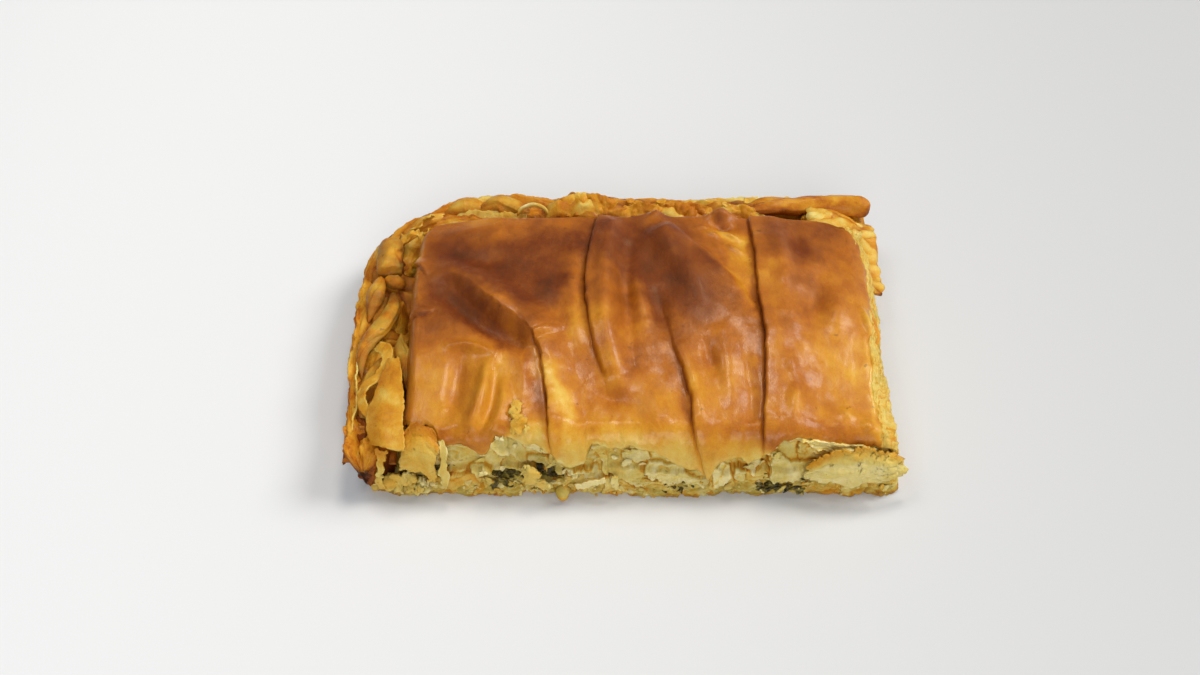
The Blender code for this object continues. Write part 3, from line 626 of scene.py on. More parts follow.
# Loose flakes and strips: guide curves across the flake, bake, thickness, how ragged its edges
# are, and how crumpled
FLAKES = (
    # the large golden flake in front of the lid's left edge
    ((((-65.4, -18.4, 19.0), (-62.2, -19.2, 20.2)), ((-67.4, -28.5, 18.4), (-64.0, -29.6, 20.0),
       (-59.8, -30.2, 20.2)), ((-69.2, -38.5, 16.4), (-64.6, -40.0, 19.0), (-58.6, -40.8, 19.2)),
      ((-68.0, -46.0, 14.6), (-63.4, -49.4, 17.2), (-57.4, -51.2, 17.8))), (0.42, 0.34), 0.5, 0.45, 0.12),
    # the thin edge standing along the outside of the left wall
    ((((-75.4, -15.0, 12.8), (-75.0, -15.6, 15.4)), ((-74.2, -24, 12.6), (-73.6, -24, 15.8)),
      ((-73.4, -32, 12.2), (-72.9, -32, 15.4)), ((-73.8, -40, 11), (-73.0, -40, 14.4)),
      ((-75.0, -44.5, 9.6), (-74.2, -44, 12.2))), 0.26, 0.5, 0.4, 0.3),
    # the folded strip that zigzags between them
    ((((-70.4, -13.0, 16.6), (-68.6, -11.2, 18.2)), ((-67.4, -17.6, 18.0), (-64.2, -15.2, 19.2)),
      ((-69.0, -23.4, 17.6), (-65.6, -24.6, 18.8)), ((-72.4, -27.6, 17.0), (-69.6, -29.4, 18.4)),
      ((-72.4, -33.2, 15.8), (-69.8, -32.6, 17.6)), ((-69.4, -37.8, 14.8), (-67.0, -35.4, 16.4))),
     0.35, 0.5, 0.3, 0.25),
    # crumpled pieces inside the front end of the left wall
    ((((-74.2, -34, 12.4), (-70.5, -34.5, 13.6)), ((-74.0, -41, 10.5), (-70.2, -41.5, 12.6),
       (-66.6, -42.5, 13.0)), ((-72.6, -46.0, 7.5), (-69.6, -47.0, 9.8), (-66.0, -47.6, 10.8)),
      ((-70.4, -49.6, 4.4), (-67.2, -50.4, 6.6))), 0.80, 0.6, 0.8, 1.1),
    ((((-70.0, -44, 11.4), (-66.2, -45.5, 13.6)), ((-70.2, -47.6, 7.6), (-66.4, -49.0, 10.0)),
      ((-69.2, -50.0, 3.2), (-66.2, -51.0, 5.2))), 0.70, 0.6, 0.8, 0.9),
    # the golden folded strip at the corner of the cut
    ((((-65.6, -46.4, 15.4), (-62.0, -47.6, 15.8)), ((-66.2, -49.2, 11.4), (-62.8, -50.2, 11.6)),
      ((-66.8, -50.4, 6.4), (-63.6, -51.2, 6.2)), ((-66.6, -50.8, 1.8), (-63.4, -51.4, 2.2))),
     (0.34, 0.2), 0.6, 0.8, 0.6),
    # golden crinkled flakes in the back left corner
    ((((-68.0, 31.0, 15.6), (-64.0, 32.0, 18.4), (-61.0, 31.0, 16.8)),
      ((-67.6, 36.5, 16.4), (-63.4, 36.0, 19.6), (-60.2, 36.0, 17.6))), 0.30, 0.5, 0.9, 0.9),
    ((((-66.2, 36.4, 16.6), (-62.4, 35.6, 19.6)), ((-63.4, 40.8, 17.6), (-59.6, 39.4, 19.8)),
      ((-60.0, 43.4, 17.6), (-57.0, 41.0, 19.2))), 0.33, 0.45, 0.9, 1.0),
    ((((-62.4, 31.6, 17.4), (-60.0, 34.0, 19.4)), ((-59.2, 36.8, 17.0), (-57.2, 38.6, 19.0))),
     0.38, 0.45, 0.8, 0.8),
    # the flat pale strip behind the lid
    ((((-53.0, 42.8, 15.6), (-52.6, 46.2, 18.6)), ((-44, 42.4, 16.2), (-43.6, 45.6, 18.8)),
      ((-36.0, 41.8, 16.4), (-35.2, 44.8, 18.8)), ((-30.2, 41.0, 16.2), (-29.8, 43.8, 18.4))),
     0.24, 0.5, 0.4, 0.3),
    # a lip of the outer sheet folded down at the right
    ((((66.6, 3.0, 20.6), (68.4, 2.2, 20.2)), ((67.4, -2.6, 20.4), (70.2, -3.6, 19.0)),
      ((68.0, -7.4, 19.0), (71.0, -9.0, 17.0)), ((68.0, -11.2, 17.6), (69.2, -12.4, 16.6))),
     0.40, 0.5, 0.2, 0.2),
    # crinkled sheets standing in the mass behind the lid
    ((((-21, 42.5, 17.0), (-22, 46.5, 21.4)), ((-15, 41.0, 19.6), (-15, 46.5, 24.8)),
      ((-8, 41.0, 19.6), (-8, 46.5, 24.6)), ((-2, 42.6, 18.0), (-2, 46.0, 22.0))), 0.38, 0.5, 0.5, 0.8),
    ((((-3, 41.4, 17.6), (-2, 45.5, 20.4)), ((5, 40.6, 19.2), (6.5, 45.0, 22.4)),
      ((12, 41.6, 17.6), (14, 44.6, 20.0))), 0.32, 0.5, 0.6, 0.8),
    ((((11, 43.5, 17.4), (12, 46.6, 19.8)), ((19, 41.2, 18.4), (20, 45.8, 21.8)),
      ((28, 43.0, 17.0), (29, 45.6, 19.4))), 0.40, 0.5, 0.6, 0.8),
    ((((29, 41.6, 16.6), (29, 44.5, 19.0)), ((36, 41.2, 18.0), (36, 45.0, 21.4)),
      ((45, 41.6, 15.6), (45, 43.4, 18.0))), 0.34, 0.5, 0.6, 0.7),
    ((((54, 40.8, 16.0), (54, 44.0, 18.6)), ((61, 40.4, 15.6), (61, 44.4, 17.8)),
      ((69, 39.6, 13.8), (69, 43.6, 16.4))), 0.38, 0.5, 0.9, 0.8),
)


def add_roll(shape, number, points, radii, flatness, twist, bake, olive, blunt):
    """A rolled-up strip of filo, creased lengthwise, whose free edge shows as a small step."""
    curve = through(points, 96)
    far = lengths(curve)
    sway = 0.35 * np.stack([rough(far, 0 * far + k, 5.5, 110 + number, 2) for k in range(3)], -1)
    curve = curve + sway * min(radii) / 3

    def ring(share, angle):
        closing = max(0.0, 1 - abs(2 * share - 1) ** blunt) ** 0.5
        turned = angle + 2 * math.pi * twist * share + number * 1.7
        around = (turned / (2 * math.pi)) % 1.0
        lap = 0.22 * smooth(0.0, 0.04, around) * (1 - around)
        place = share * far[-1]
        crease = 0.16 * bell(around - 0.45 - 0.06 * math.sin(9 * share + number), 0.035)
        fold = 0.12 * np.abs(relief(place * 0.15 + 0 * angle, turned * 2.6, 1.5, 120 + number)) - 0.05
        crumple = 0.03 * rough(place * 0.6 + 0 * angle, turned * 2.2, 1.8, 125 + number)
        size = np.interp(share, (0, 0.5, 1), radii) * closing * (0.93 + lap - fold - crease + crumple)
        return size, size * flatness

    def baked(points):
        high = smooth(curve[:, 2].min() - 1, curve[:, 2].max() + max(radii), points[:, 2])
        mottled = 0.14 * rough(points[:, 0], points[:, 1] + points[:, 2], 4.5, 140 + number)
        return bake + 0.03 + 0.30 * (1 - high) + mottled

    shape.tube(curve, ring, 60, baked, olive)


GUIDE_ROWS, GUIDE_COLUMNS = 40, 24    # the grid that is drawn through a flake's guide curves
FLAKE_STEP = 0.36


def add_flake(shape, number, guides, bake, thickness, rag, crumple):
    """A stiff, ragged flake of filo that passes through its guide curves."""
    across = np.array([through(guide, GUIDE_COLUMNS) for guide in guides])
    sheet = np.stack([through(across[:, k], GUIDE_ROWS) for k in range(GUIDE_COLUMNS)], 1)
    long = np.linalg.norm(np.diff(sheet[:, GUIDE_COLUMNS // 2], axis=0), axis=1).sum()
    wide = np.linalg.norm(np.diff(sheet[GUIDE_ROWS // 2], axis=0), axis=1).sum()
    rows, columns = int(10 + long / FLAKE_STEP), int(8 + wide / FLAKE_STEP)
    s, t = np.meshgrid(np.linspace(0, 1, columns), np.linspace(0, 1, rows))

    def nick(along, seed):
        depth = 0.75 + 0.8 * torn(along, 2.4, seed) + 0.55 * torn(along, 0.9, seed + 1)
        return rag * (depth + 0.25 * torn(along, 0.4, seed + 2))

    low_s, high_s = nick(t * long, 150 + number) / wide, nick(t * long, 160 + number) / wide
    low_t, high_t = nick(s * wide, 170 + number) / long, nick(s * wide, 180 + number) / long
    s = np.clip(low_s + (1 - low_s - high_s) * s, 0, 1)
    t = np.clip(low_t + (1 - low_t - high_t) * t, 0, 1)
    row, column = t * (GUIDE_ROWS - 1), s * (GUIDE_COLUMNS - 1)
    i, j = np.minimum(row.astype(int), GUIDE_ROWS - 2), np.minimum(column.astype(int), GUIDE_COLUMNS - 2)
    ft, fs = (row - i)[..., None], (column - j)[..., None]
    place = (sheet[i, j] * (1 - fs) + sheet[i, j + 1] * fs) * (1 - ft)
    place = place + (sheet[i + 1, j] * (1 - fs) + sheet[i + 1, j + 1] * fs) * ft
    waves = rough(s * wide * 0.5, t * long, 3.0, 210 + number, 2)
    folds = 1.0 * rough(s * wide * 0.8, t * long, 3.6, 190 + number, 3) + 0.5 - 1.2 * np.abs(waves)
    place = place + facing(place) * (crumple * folds)[..., None]
    edge = 1 - smooth(0, 0.7, np.minimum(np.minimum(s, 1 - s) * wide, np.minimum(t, 1 - t) * long))
    first, last = bake if np.size(bake) == 2 else (bake, bake)
    baked = first + (last - first) * smooth(0.0, 0.45, t)
    mottled = 0.09 * rough(s * wide, t * long, 4, 200 + number) * min(1, 3 * last)
    # Darker in the fold hollows: painted shade; paler towards the edges.
    baked = baked + mottled - 0.10 * edge + 0.08 * crumple * (0.5 - folds)
    shape.leaf(place, thickness, baked, 0.0)


def corner_inset(y, back, radius):
    """How far a rounded back-left corner draws the left edge in, at each y."""
    into_corner = np.clip((y - back + radius) / radius, 0, 1)
    return radius * (1 - np.sqrt(1 - into_corner**2))


def add_crumpled(shape, number, x, y, z, bake, amount, size):
    """A bed of crumpled filo: ridged folds over a grid of places, golden on the ridges and browner in the
    hollows, where the browner colour is painted shade.
    """
    bent = 1.3 * rough(x, y, size * 1.4, 205 + number, 2)
    ridges = 1 - 2.2 * np.abs(rough(x * 0.35 + bent, y + 0.35 * x + bent, size, 210 + number, 1))
    lesser = 1 - 2 * np.abs(rough(x * 0.6 - bent, y * 1.1 - x * 0.5, size * 0.62, 220 + number, 1))
    folds = ridges + 0.42 * lesser
    ledges, torn_edge, shade = plates(x * 0.6 + bent * 0.4, y, size * 1.4, 0.6, 0.4, 230 + number)
    folds = folds + 0.6 * ledges
    rows, columns = x.shape
    rim = np.minimum(np.minimum(np.arange(columns), np.arange(columns)[::-1])[None, :],
                     np.minimum(np.arange(rows), np.arange(rows)[::-1])[:, None])
    sheet = np.stack([x, y, z + amount * folds * smooth(-1, 4, rim)], -1)
    sheet[..., 1] += 0.4 * amount * rough(x, y, size * 1.2, 240 + number)
    # Browner in the fold hollows and below the torn ledges: painted shade; paler on the torn edges: painted
    # highlight.
    baked = bake + 0.02 + 0.16 * (0.9 - folds) + 0.14 * rough(x, y, 8, 250 + number)
    shape.leaf(sheet, 1.2, baked + 0.20 * shade - 0.09 * torn_edge, 0.15)


rim_shape = Shape()
for number, facts in enumerate(ROLLS):
    add_roll(rim_shape, number, *facts)
add_roll(rim_shape, 40, *CRUMB)
add_roll(rim_shape, 41, *RING)
rim_shape.piece("rim_rolls", dry_filo, "bottom_crust")

crumpled_shape = Shape()
# the crumpled mass behind the lid, from the ring to the long roll at the right
along, over = np.meshgrid(np.linspace(-24.5, 41, 220), np.linspace(0, 1, 72))
back_places = (-24.5, -20.5, -12, -3, 2, 8, 24, 36, 41)
back_heights = (19.0, 24.2, 24.8, 24.2, 22.6, 21.4, 20.2, 20.8, 20.0)
back_height = np.interp(along, back_places, back_heights)
over_y = 38.7 + 13.1 * over + 0.9 * relief(along, 0 * along, 7, 261)
hump = np.sin(math.pi * np.clip(over * 1.04, 0, 1)) ** 0.7
back_rise = 0.45 * over + 0.55 * hump
back_z = 15.4 + (back_height - 15.4) * back_rise - 5 * smooth(0.8, 1, over)
add_crumpled(crumpled_shape, 1, along, over_y, back_z, 0.40, 1.15, 5.2)
# the broken pastry at the right end of the back, which falls away to the right cut
along, over = np.meshgrid(np.linspace(56, 76.6, 90), np.linspace(0, 1, 120))
slope_y = 43.6 - 27 * over
slope_z = 19.2 - 6.5 * smooth(62, 77, along) - 3.0 * smooth(0.1, 0.9, over)
slope_z = slope_z + 0.5 * relief(along, slope_y, 6, 262)
slope_x = along + 0.6 * relief(slope_y, along, 3, 263)
add_crumpled(crumpled_shape, 2, slope_x, slope_y, slope_z, 0.37, 0.9, 4.4)
# the bed of folded sheets under the rolls of the left rim, given a darker bake than the other beds as
# painted shade under the rolls
along, over = np.meshgrid(np.linspace(-75.6, -61.4, 60), np.linspace(0, 1, 260))
bed_y = -47 + 88 * over
bed_z = 12.9 - 1.2 * smooth(-68, -63.6, along) + 0.8 * relief(along, bed_y, 8, 264)
bed_z = bed_z - 3.4 * smooth(-36, -47, bed_y)
hollows = smooth(-4, 2, bed_y) * smooth(14, 8, bed_y) + smooth(23, 27, bed_y) * smooth(36, 32, bed_y)
bed_z = bed_z - 3.6 * smooth(-68, -64, along) * hollows
bed_x = along + 0.75 * corner_inset(bed_y, 44, 14)
add_crumpled(crumpled_shape, 3, bed_x, bed_y, bed_z, 0.57, 0.9, 5.5)
crumpled_shape.piece("rim_crumpled_sheets", dry_filo, "bottom_crust")

flake_shape = Shape()
for number, facts in enumerate(FLAKES):
    add_flake(flake_shape, number, *facts)
flake_shape.piece("rim_flakes", dry_filo, "bottom_crust")


# The spinach filling
# Chopped spinach cooked down with a little cheese, spread between the sheets before baking.
# It is dark and moist, and shows where the broken pastry stands off the cut.
FILLING_TOP_MIDDLE, FILLING_TOP_AT_CUT = 14.0, 8.0
FILLING_BACK, FILLING_CORNER_RADIUS, FILLING_BEHIND_CUT = 36.6, 15.0, 3.2
LAYER_GAP = 0.5
LID_LEFT = -59.8


def filling_top(x, y):
    """The filling is thickest in the middle of the pie and is pressed thin by the knife."""
    to_cut = np.minimum(y - FRONT_CUT, right_cut(y) - x)
    rise = smooth(0, 26, to_cut)
    return FILLING_TOP_AT_CUT + (FILLING_TOP_MIDDLE - FILLING_TOP_AT_CUT) * rise


def spinach_finish():
    """Dark, moist leaf with paler flecks."""
    leaf = Finish("cooked_spinach")
    patches = leaf.noise(2.6, 4, 0.65, warp=1.2)
    colour = patches.colours((
        (0.30, linear(34, 26, 8)), (0.44, linear(66, 54, 14)), (0.56, linear(112, 98, 30)),
        (0.68, linear(160, 140, 62)), (0.80, linear(206, 184, 116))))
    fine = leaf.noise(0.7, 3, 0.6)
    leaf.set(Base_Color=colour, Roughness=0.30 + 0.3 * fine, Specular_IOR_Level=0.35)
    leaf.set(Normal=leaf.bump(patches + fine * 0.5, 0.6, 0.8))
    return leaf


spinach = spinach_finish()


def make_filling():
    """A lumpy slab from wall to wall, with crumbly faces at the two cuts."""
    rows, columns, side = 150, 240, 14
    across, along = np.meshgrid(np.linspace(0, 1, columns), np.linspace(0, 1, rows))
    front = FRONT_CUT + FILLING_BEHIND_CUT
    y = front + (FILLING_BACK - front) * along
    left = LID_LEFT + corner_inset(y, FILLING_BACK, FILLING_CORNER_RADIUS)
    right = right_cut(y) - FILLING_BEHIND_CUT
    x = left + (right - left) * across
    top = filling_top(x, y) - 0.15 + 0.15 * rough(x, y, 4, 31)
    upper = np.stack([x, y, top], -1).reshape(-1, 3)
    lower = np.stack([x, y, 0 * x + BASE_THICKNESS + LAYER_GAP], -1).reshape(-1, 3)
    count = rows * columns
    ring = edge_ring(rows, columns)
    rim_top, rim_low = upper[ring], lower[ring]
    onward = np.roll(rim_top, -1, 0) - np.roll(rim_top, 1, 0)
    outward = np.stack([onward[:, 1], -onward[:, 0], 0 * onward[:, 0]], -1)
    outward /= np.maximum(np.linalg.norm(outward, axis=1, keepdims=True), 1e-9)
    bands = [rim_top]
    for k in range(1, side):
        share = k / side
        level = rim_top * (1 - share) + rim_low * share
        to_right = right_cut(level[:, 1]) - FILLING_BEHIND_CUT - level[:, 0]
        cut = np.maximum(smooth(front + 2, front, level[:, 1]), smooth(2, 0, to_right))
        lumps = rough(level[:, 0] + level[:, 1], level[:, 2] * 1.6, 3.0, 32, 4)
        push = cut * (0.9 * lumps + 0.5) * math.sin(math.pi * share) ** 0.5
        bands.append(level + outward * push[:, None])
    bands.append(rim_low)
    shape = Shape()
    faces = grid(rows, columns).tolist() + grid(rows, columns, count)[:, ::-1].tolist()
    skirt = grid(side + 1, len(ring), 2 * count, around=True)[:, ::-1].tolist()
    shape.add(np.vstack([upper, lower, *bands]), faces + skirt)
    shape.piece("spinach_filling_layer", spinach, "spinach_filling")


make_filling()


# The lid: outer sheet
# The top sheets of filo are laid loosely over the filling, so they settle into long pleats.
# The outermost one is brushed with oil and browns unevenly; it breaks off short of both cuts.
CROWN_HEIGHT = 26.2
LID_BACK, LID_CORNER_RADIUS = 37.6, 11.0
FRONT_ROUND, LEFT_ROUND, BACK_ROUND = 8.0, 3.5, 4.0
FRONT_LIP, RIGHT_LIP, LEFT_LIP, BACK_LIP = 5.0, 6.5, 13.0, 14.5
TURNED_DOWN = 10.5    # how much sheet runs on past the start of the left and back rounds
SHEET_THICKNESS = 0.5
UNDER_STEP = 4    # the underside of a sheet keeps every fourth point of its grid

# Pleats: crease line, lift of the upper side at its start, middle and end, where the rise
# begins and ends beside the line, how far the lift takes to settle, and the overhang
PLEATS = (
    (((-8.0, 37), (-9.5, 25), (-10.7, 15), (-11.3, 5), (-11, -3), (-10.2, -12), (-9, -20), (-7.4, -26),
      (-6.3, -30)), (1.9, 2.6, 0.7), -0.4, 1.2, 13, 1.3),
    (((10.7, -9), (12.3, -19), (14.5, -26), (16, -33), (16.8, -40), (17, -47), (18.3, -53), (20, -59),
      (22, -63)), (0.5, 2.1, 1.2), -0.4, 1.1, 10, 1.2),
    (((36.8, 38), (37.5, 20), (37.2, 5), (37.4, -5), (37.8, -15), (37.2, -25), (36.5, -33), (35.5, -42),
      (35, -50), (35.6, -55), (37.4, -62)), (2.1, 2.4, 1.5), -0.4, 1.1, 17, 1.4),
    (((-26, -16.2), (-23.8, -20.5), (-22.5, -27), (-21.3, -35), (-20.8, -42), (-20.3, -50), (-19.7, -55)),
     (1.9, 2.8, 1.6), -0.3, 1.0, 9.5, 1.3),
    (((40, -13), (35, -5), (32, 2), (28, 9), (23, 17), (18, 23), (12, 31)), (0.5, 2.2, 2.2),
     -2.0, 2.0, 15, 0.4),
    (((-56, 10), (-50, 9), (-46, 6), (-42, 1), (-37, -5), (-33.5, -8.5), (-30, -11.2), (-26.4, -15.4),
      (-24.6, -18.5)), (1.4, 3.9, 2.6), -4.2, 0.4, 11, 0.5),
    (((-64, -6.8), (-58.5, -6.6), (-55, -5.8), (-53, -3.6)), (0.9, 1.1, 0.1), -0.2, 0.5, 5, 0.6),
    (((-64, 17), (-59.5, 12.8), (-57.0, 9.0)), (1.3, 1.2, 0.2), -0.3, 0.7, 4, 0.8),
)
# Welts and dips: centre line, height, half width
WELTS = (
    (((-4.2, 30), (-5.6, 12), (-6.2, -8), (-4.8, -21), (-2.8, -30)), 1.7, 3.0),
    (((1, 20), (0.2, 4), (0.2, -10), (1.2, -25)), -1.2, 2.2),
    (((0.5, 12), (3, 0), (5.4, -10)), 1.0, 2.2),
    (((8.4, 0), (10.4, -13)), -1.3, 2.4),
    (((6, 34), (11, 22), (17, 8), (21, -4)), 2.0, 4.6),
    (((3, -33), (7, -38), (9, -46)), 0.5, 3.6),
    (((-8, -34), (-1, -37)), -0.7, 2.2),
    (((-37.6, -25), (-38.4, -33), (-41.2, -44)), 1.7, 2.1),
    (((-33.4, -32), (-33, -39), (-35.2, -46)), 1.1, 1.9),
    (((-35.6, -27), (-36.0, -37), (-38.4, -45)), -1.1, 1.4),
    (((-45, -21), (-45.5, -29), (-46, -38)), -1.2, 2.8),
    (((-28.8, -24), (-27.4, -34)), 0.6, 2.2),
    (((-48.5, -18.2), (-43, -18.6), (-36, -21.5)), 0.9, 1.5),
    (((-52, 2), (-45, -6), (-38, -13), (-30, -18.5)), -1.3, 2.6),
    (((-58, 27), (-35, 29.5), (-17, 27)), 0.6, 4.5),
    (((-50, 21), (-43, 15), (-34, 15)), -1.1, 4.0),
    (((-24, 6), (-20, -4)), 0.7, 3.4),
    (((-15, 18), (-15.5, 0), (-13, -18)), 1.0, 3.2),
    (((14.6, -20), (17.6, -31), (18.8, -42)), 0.8, 1.6),
    (((21.4, -18), (22.6, -27)), -1.0, 1.8),
    (((26, -15), (26.6, -30), (26, -42)), 0.6, 2.6),
    (((31.5, -20), (32.5, -33), (31.4, -44)), -0.5, 2.0),
    (((24, 27), (27, 24.4)), 0.7, 0.9), (((28.4, 26.6), (33.5, 23)), 0.8, 0.9),
    (((29, 21), (33.6, 16.5)), 0.7, 0.9),
    (((25.5, 22), (28, 17)), 0.5, 0.9), (((21.5, 29), (25, 28.4)), 0.6, 0.8),
    (((25.6, 34), (31.5, 35.2)), 2.2, 2.2), (((27, 29.6), (31.4, 28.8)), -1.3, 1.7),
    (((8.6, 35.5), (10.6, 33)), 1.2, 2.4),
    (((44, 33), (45, 12), (44, -8)), 0.8, 2.8),
    (((50, 31), (50.5, 14)), -0.9, 2.4),
    (((55, 8), (52, -5), (49.5, -14)), -1.0, 3.0),
    (((59.5, 0), (57.5, -11)), 1.0, 3.6),
    (((43.6, -24), (43.8, -29)), 0.6, 1.6),
    (((45, -32), (43.2, -41)), 0.9, 2.2),
    (((51, -30), (50.4, -42)), -0.5, 2.4),
    (((57.2, -37), (57.6, -42)), 0.8, 1.9),
    (((61.6, -41), (63, -45)), 0.9, 1.7),
    (((66.4, -5), (68.4, -14)), 1.3, 1.5),
)


def from_segment(x, y, start, end):
    """Places as seen from a straight piece: where from its start, its way, share along, distance."""
    way = end - start
    dx, dy = x - start[0], y - start[1]
    share = np.clip((dx * way[0] + dy * way[1]) / (way @ way), 0, 1)
    return dx, dy, way, share, np.hypot(dx - share * way[0], dy - share * way[1])


def beside(x, y, points, steps=34):
    """Distance from a line, positive on its left-hand side, share along it, and its normal."""
    curve = through([(*p, 0) for p in points], steps)[:, :2]
    nearest = np.full(x.shape, np.inf)
    signed, along = np.zeros(x.shape), np.zeros(x.shape)
    side_x, side_y = np.zeros(x.shape), np.zeros(x.shape)
    for k, (start, end) in enumerate(zip(curve[:-1], curve[1:])):
        dx, dy, way, share, gap = from_segment(x, y, start, end)
        side = np.where(way[0] * dy - way[1] * dx >= 0, 1.0, -1.0)
        closer = gap < nearest
        nearest = np.where(closer, gap, nearest)
        signed = np.where(closer, side * gap, signed)
        along = np.where(closer, (k + share) / (len(curve) - 1), along)
        side_x = np.where(closer, -way[1] / np.hypot(*way), side_x)
        side_y = np.where(closer, way[0] / np.hypot(*way), side_y)
    return signed, along, side_x, side_y


def stroke(x, y, points, half_width):
    """1 along a line, fading to 0 at about twice the half width from it."""
    low, high = np.min(points, axis=0) - 3 * half_width, np.max(points, axis=0) + 3 * half_width
    near = (x > low[0]) & (x < high[0]) & (y > low[1]) & (y < high[1])
    made = np.zeros(x.shape)
    gap, along, _, _ = beside(x[near], y[near], points, 4 * len(points))
    made[near] = bell(gap, half_width) * (0.45 + 0.55 * np.sin(math.pi * along))
    return made


def lid_folds(x, y):
    """Height of the pleats and welts at each place, how far their lips hang over sideways, and how deep in
    a crease each place lies, which browning() darkens as painted shade.
    """
    height = 0.55 * relief(x, y, 17, 11) + 0.24 * relief(x, y, 6, 12)
    height = height + (0.06 + 0.10 * smooth(-36, -48, y)) * rough(x, y * 0.5, 2.4, 13)
    over_x, over_y, crease = np.zeros(x.shape), np.zeros(x.shape), np.zeros(x.shape)
    for points, (first, middle, last), low, high, spread, overhang in PLEATS:
        gap, along, side_x, side_y = beside(x, y, points)
        gap = gap + 0.25 * relief(x, y, 2.4, 14) * (high < 2)
        lifts = (0.3 * first, first, middle, last, 0.2 * last)
        lift = np.interp(along, (0, 0.08, 0.5, 0.93, 1), lifts)
        rise = smooth(low, high, gap)
        settle = 1 - smooth(0.12 * spread, spread, gap)
        groove = np.exp(-((gap / 0.55 + 0.4) ** 2)) * (high < 2) * (low > -3)
        height += lift * rise * settle - 0.16 * lift * groove
        reach = 0.75 * overhang * lift / 2.2 * bell(gap - 0.8, 0.75)
        over_x -= side_x * reach
        over_y -= side_y * reach
        crease = np.maximum(crease, groove * np.minimum(lift / 1.6, 1))
    for points, tall, half_width in WELTS:
        height += 1.3 * tall * stroke(x, y, points, half_width)
    return height, over_x, over_y, crease


def crown(x, y):
    """Height of the lid before its folds and before it turns down at its edges."""
    height = CROWN_HEIGHT - 6 * smooth(-4, -52, y) - 1.2 * smooth(14, 36, y)
    height = height - 2.4 * smooth(-34, -60, x) - 2.8 * smooth(42, 72, x)
    past_corner = np.hypot(np.maximum(x - 54, 0), np.maximum(y - 20, 0))
    return height - 8.0 * smooth(14, 26, past_corner)


def quarter(a, b):
    """Length of a quarter of an ellipse."""
    return math.pi / 4 * (3 * (a + b) - np.sqrt((3 * a + b) * (a + 3 * b)))


def lid_left(y):
    """The left edge of the lid, rounded off into the back corner."""
    drawn_in = 2.4 * smooth(8, -38, y) - 5.0 * smooth(-42, -48, y)
    return LID_LEFT - 2.4 + drawn_in + corner_inset(y, LID_BACK, LID_CORNER_RADIUS)


def laid(x, y, lift):
    """Where a spot of a flat sheet comes to lie: over the crown, and turned down at each edge."""
    front, back = FRONT_CUT + FRONT_ROUND, LID_BACK - BACK_ROUND
    y0 = np.clip(y, front, back)
    right_round = 8 + 4 * smooth(-30, 10, y0)
    right, left = right_cut(y0) - right_round, lid_left(y0) + LEFT_ROUND
    x0 = np.clip(x, left, right)
    z0 = crown(x0, y0)
    past_left, past_right = np.maximum(left - x, 0), np.maximum(x - right, 0)
    past_front, past_back = np.maximum(front - y, 0), np.maximum(y - back, 0)
    wide_x = np.where(past_left > 0, LEFT_ROUND, right_round)
    wide_y = np.where(past_back > 0, BACK_ROUND, FRONT_ROUND)
    tall_x = z0 - np.where(past_left > 0, LEFT_LIP, RIGHT_LIP)
    tall_y = z0 - np.where(past_back > 0, BACK_LIP, FRONT_LIP)
    u = (past_left + past_right) / quarter(wide_x, tall_x)
    v = (past_front + past_back) / quarter(wide_y, tall_y)
    turn = (u**4 + v**4) ** 0.25
    su, sv = u / np.maximum(turn, 1e-9), v / np.maximum(turn, 1e-9)
    tall = np.where(turn > 0, tall_x * su**4 + tall_y * sv**4, tall_y)
    angle = np.minimum(turn, 1.12) * math.pi / 2
    sign_x, sign_y = np.sign(past_right - past_left), np.sign(past_back - past_front)
    place = np.stack([
        x0 + sign_x * wide_x * su * np.sin(angle),
        y0 + sign_y * wide_y * sv * np.sin(angle),
        z0 - tall * (1 - np.cos(angle))], -1)
    normal = np.stack([
        sign_x * su * np.sin(angle) / wide_x,
        sign_y * sv * np.sin(angle) / wide_y,
        np.cos(angle) / tall], -1)
    normal /= np.linalg.norm(normal, axis=-1, keepdims=True)
    return place + normal * np.asarray(lift)[..., None]


# Where the outer sheet ends at the front cut (along x) and at the right cut (along y), flat
BROWN_FRONT = (
    (-66, -38), (-60.5, -40.5), (-57.5, -43.2), (-54.8, -43.6), (-53.5, -42.4), (-51.5, -43.6),
    (-50.2, -46.5), (-49.6, -49.4), (-48.6, -50.0), (-45.5, -50.2), (-42.5, -51.0), (-40.6, -52.4),
    (-39.4, -53.9), (-37.4, -54.1), (-36.2, -52.9), (-35.6, -50.2), (-34.6, -49.0), (-31.2, -48.8),
    (-29.6, -49.6), (-28.2, -50.6), (-26.4, -51.6), (-24.4, -51.0), (-22.6, -52.8), (-20.9, -54.0),
    (-19.6, -54.8), (-18.4, -56.8), (-15.4, -57.4), (-13.0, -56.9), (-11.4, -56.0), (-10.9, -52.6),
    (-10.2, -50.9), (-6.4, -51.2), (-4.6, -52.6), (-2.2, -52.2), (0.2, -51.8), (3, -52.6), (6.5, -53.2),
    (9, -54.8), (11.2, -55.9), (13.6, -56.9), (15.2, -58.0), (18.2, -58.2), (19.8, -60.2), (21.4, -61.6),
    (22.2, -58.6), (23.2, -56.0), (26.2, -55.4), (29.6, -55.9), (31.4, -57.2), (33.2, -56.2),
    (35.0, -54.6), (36.4, -53.2), (38.6, -51.0), (41.2, -49.6), (46, -49.6), (52.1, -49.9), (57.5, -50.4),
    (61, -50.0), (65.5, -49.6), (78, -50.6),
)
BROWN_RIGHT = (
    (-60, 67.0), (-48, 66.6), (-38, 66.2), (-33, 66.0), (-28, 66.6), (-20, 67.4), (-15.5, 70.0),
    (-5, 70.8), (9.5, 71.2), (16, 71.0), (21.9, 70.1), (27, 68.3), (31.9, 65.6), (36, 61.5), (44, 55),
)

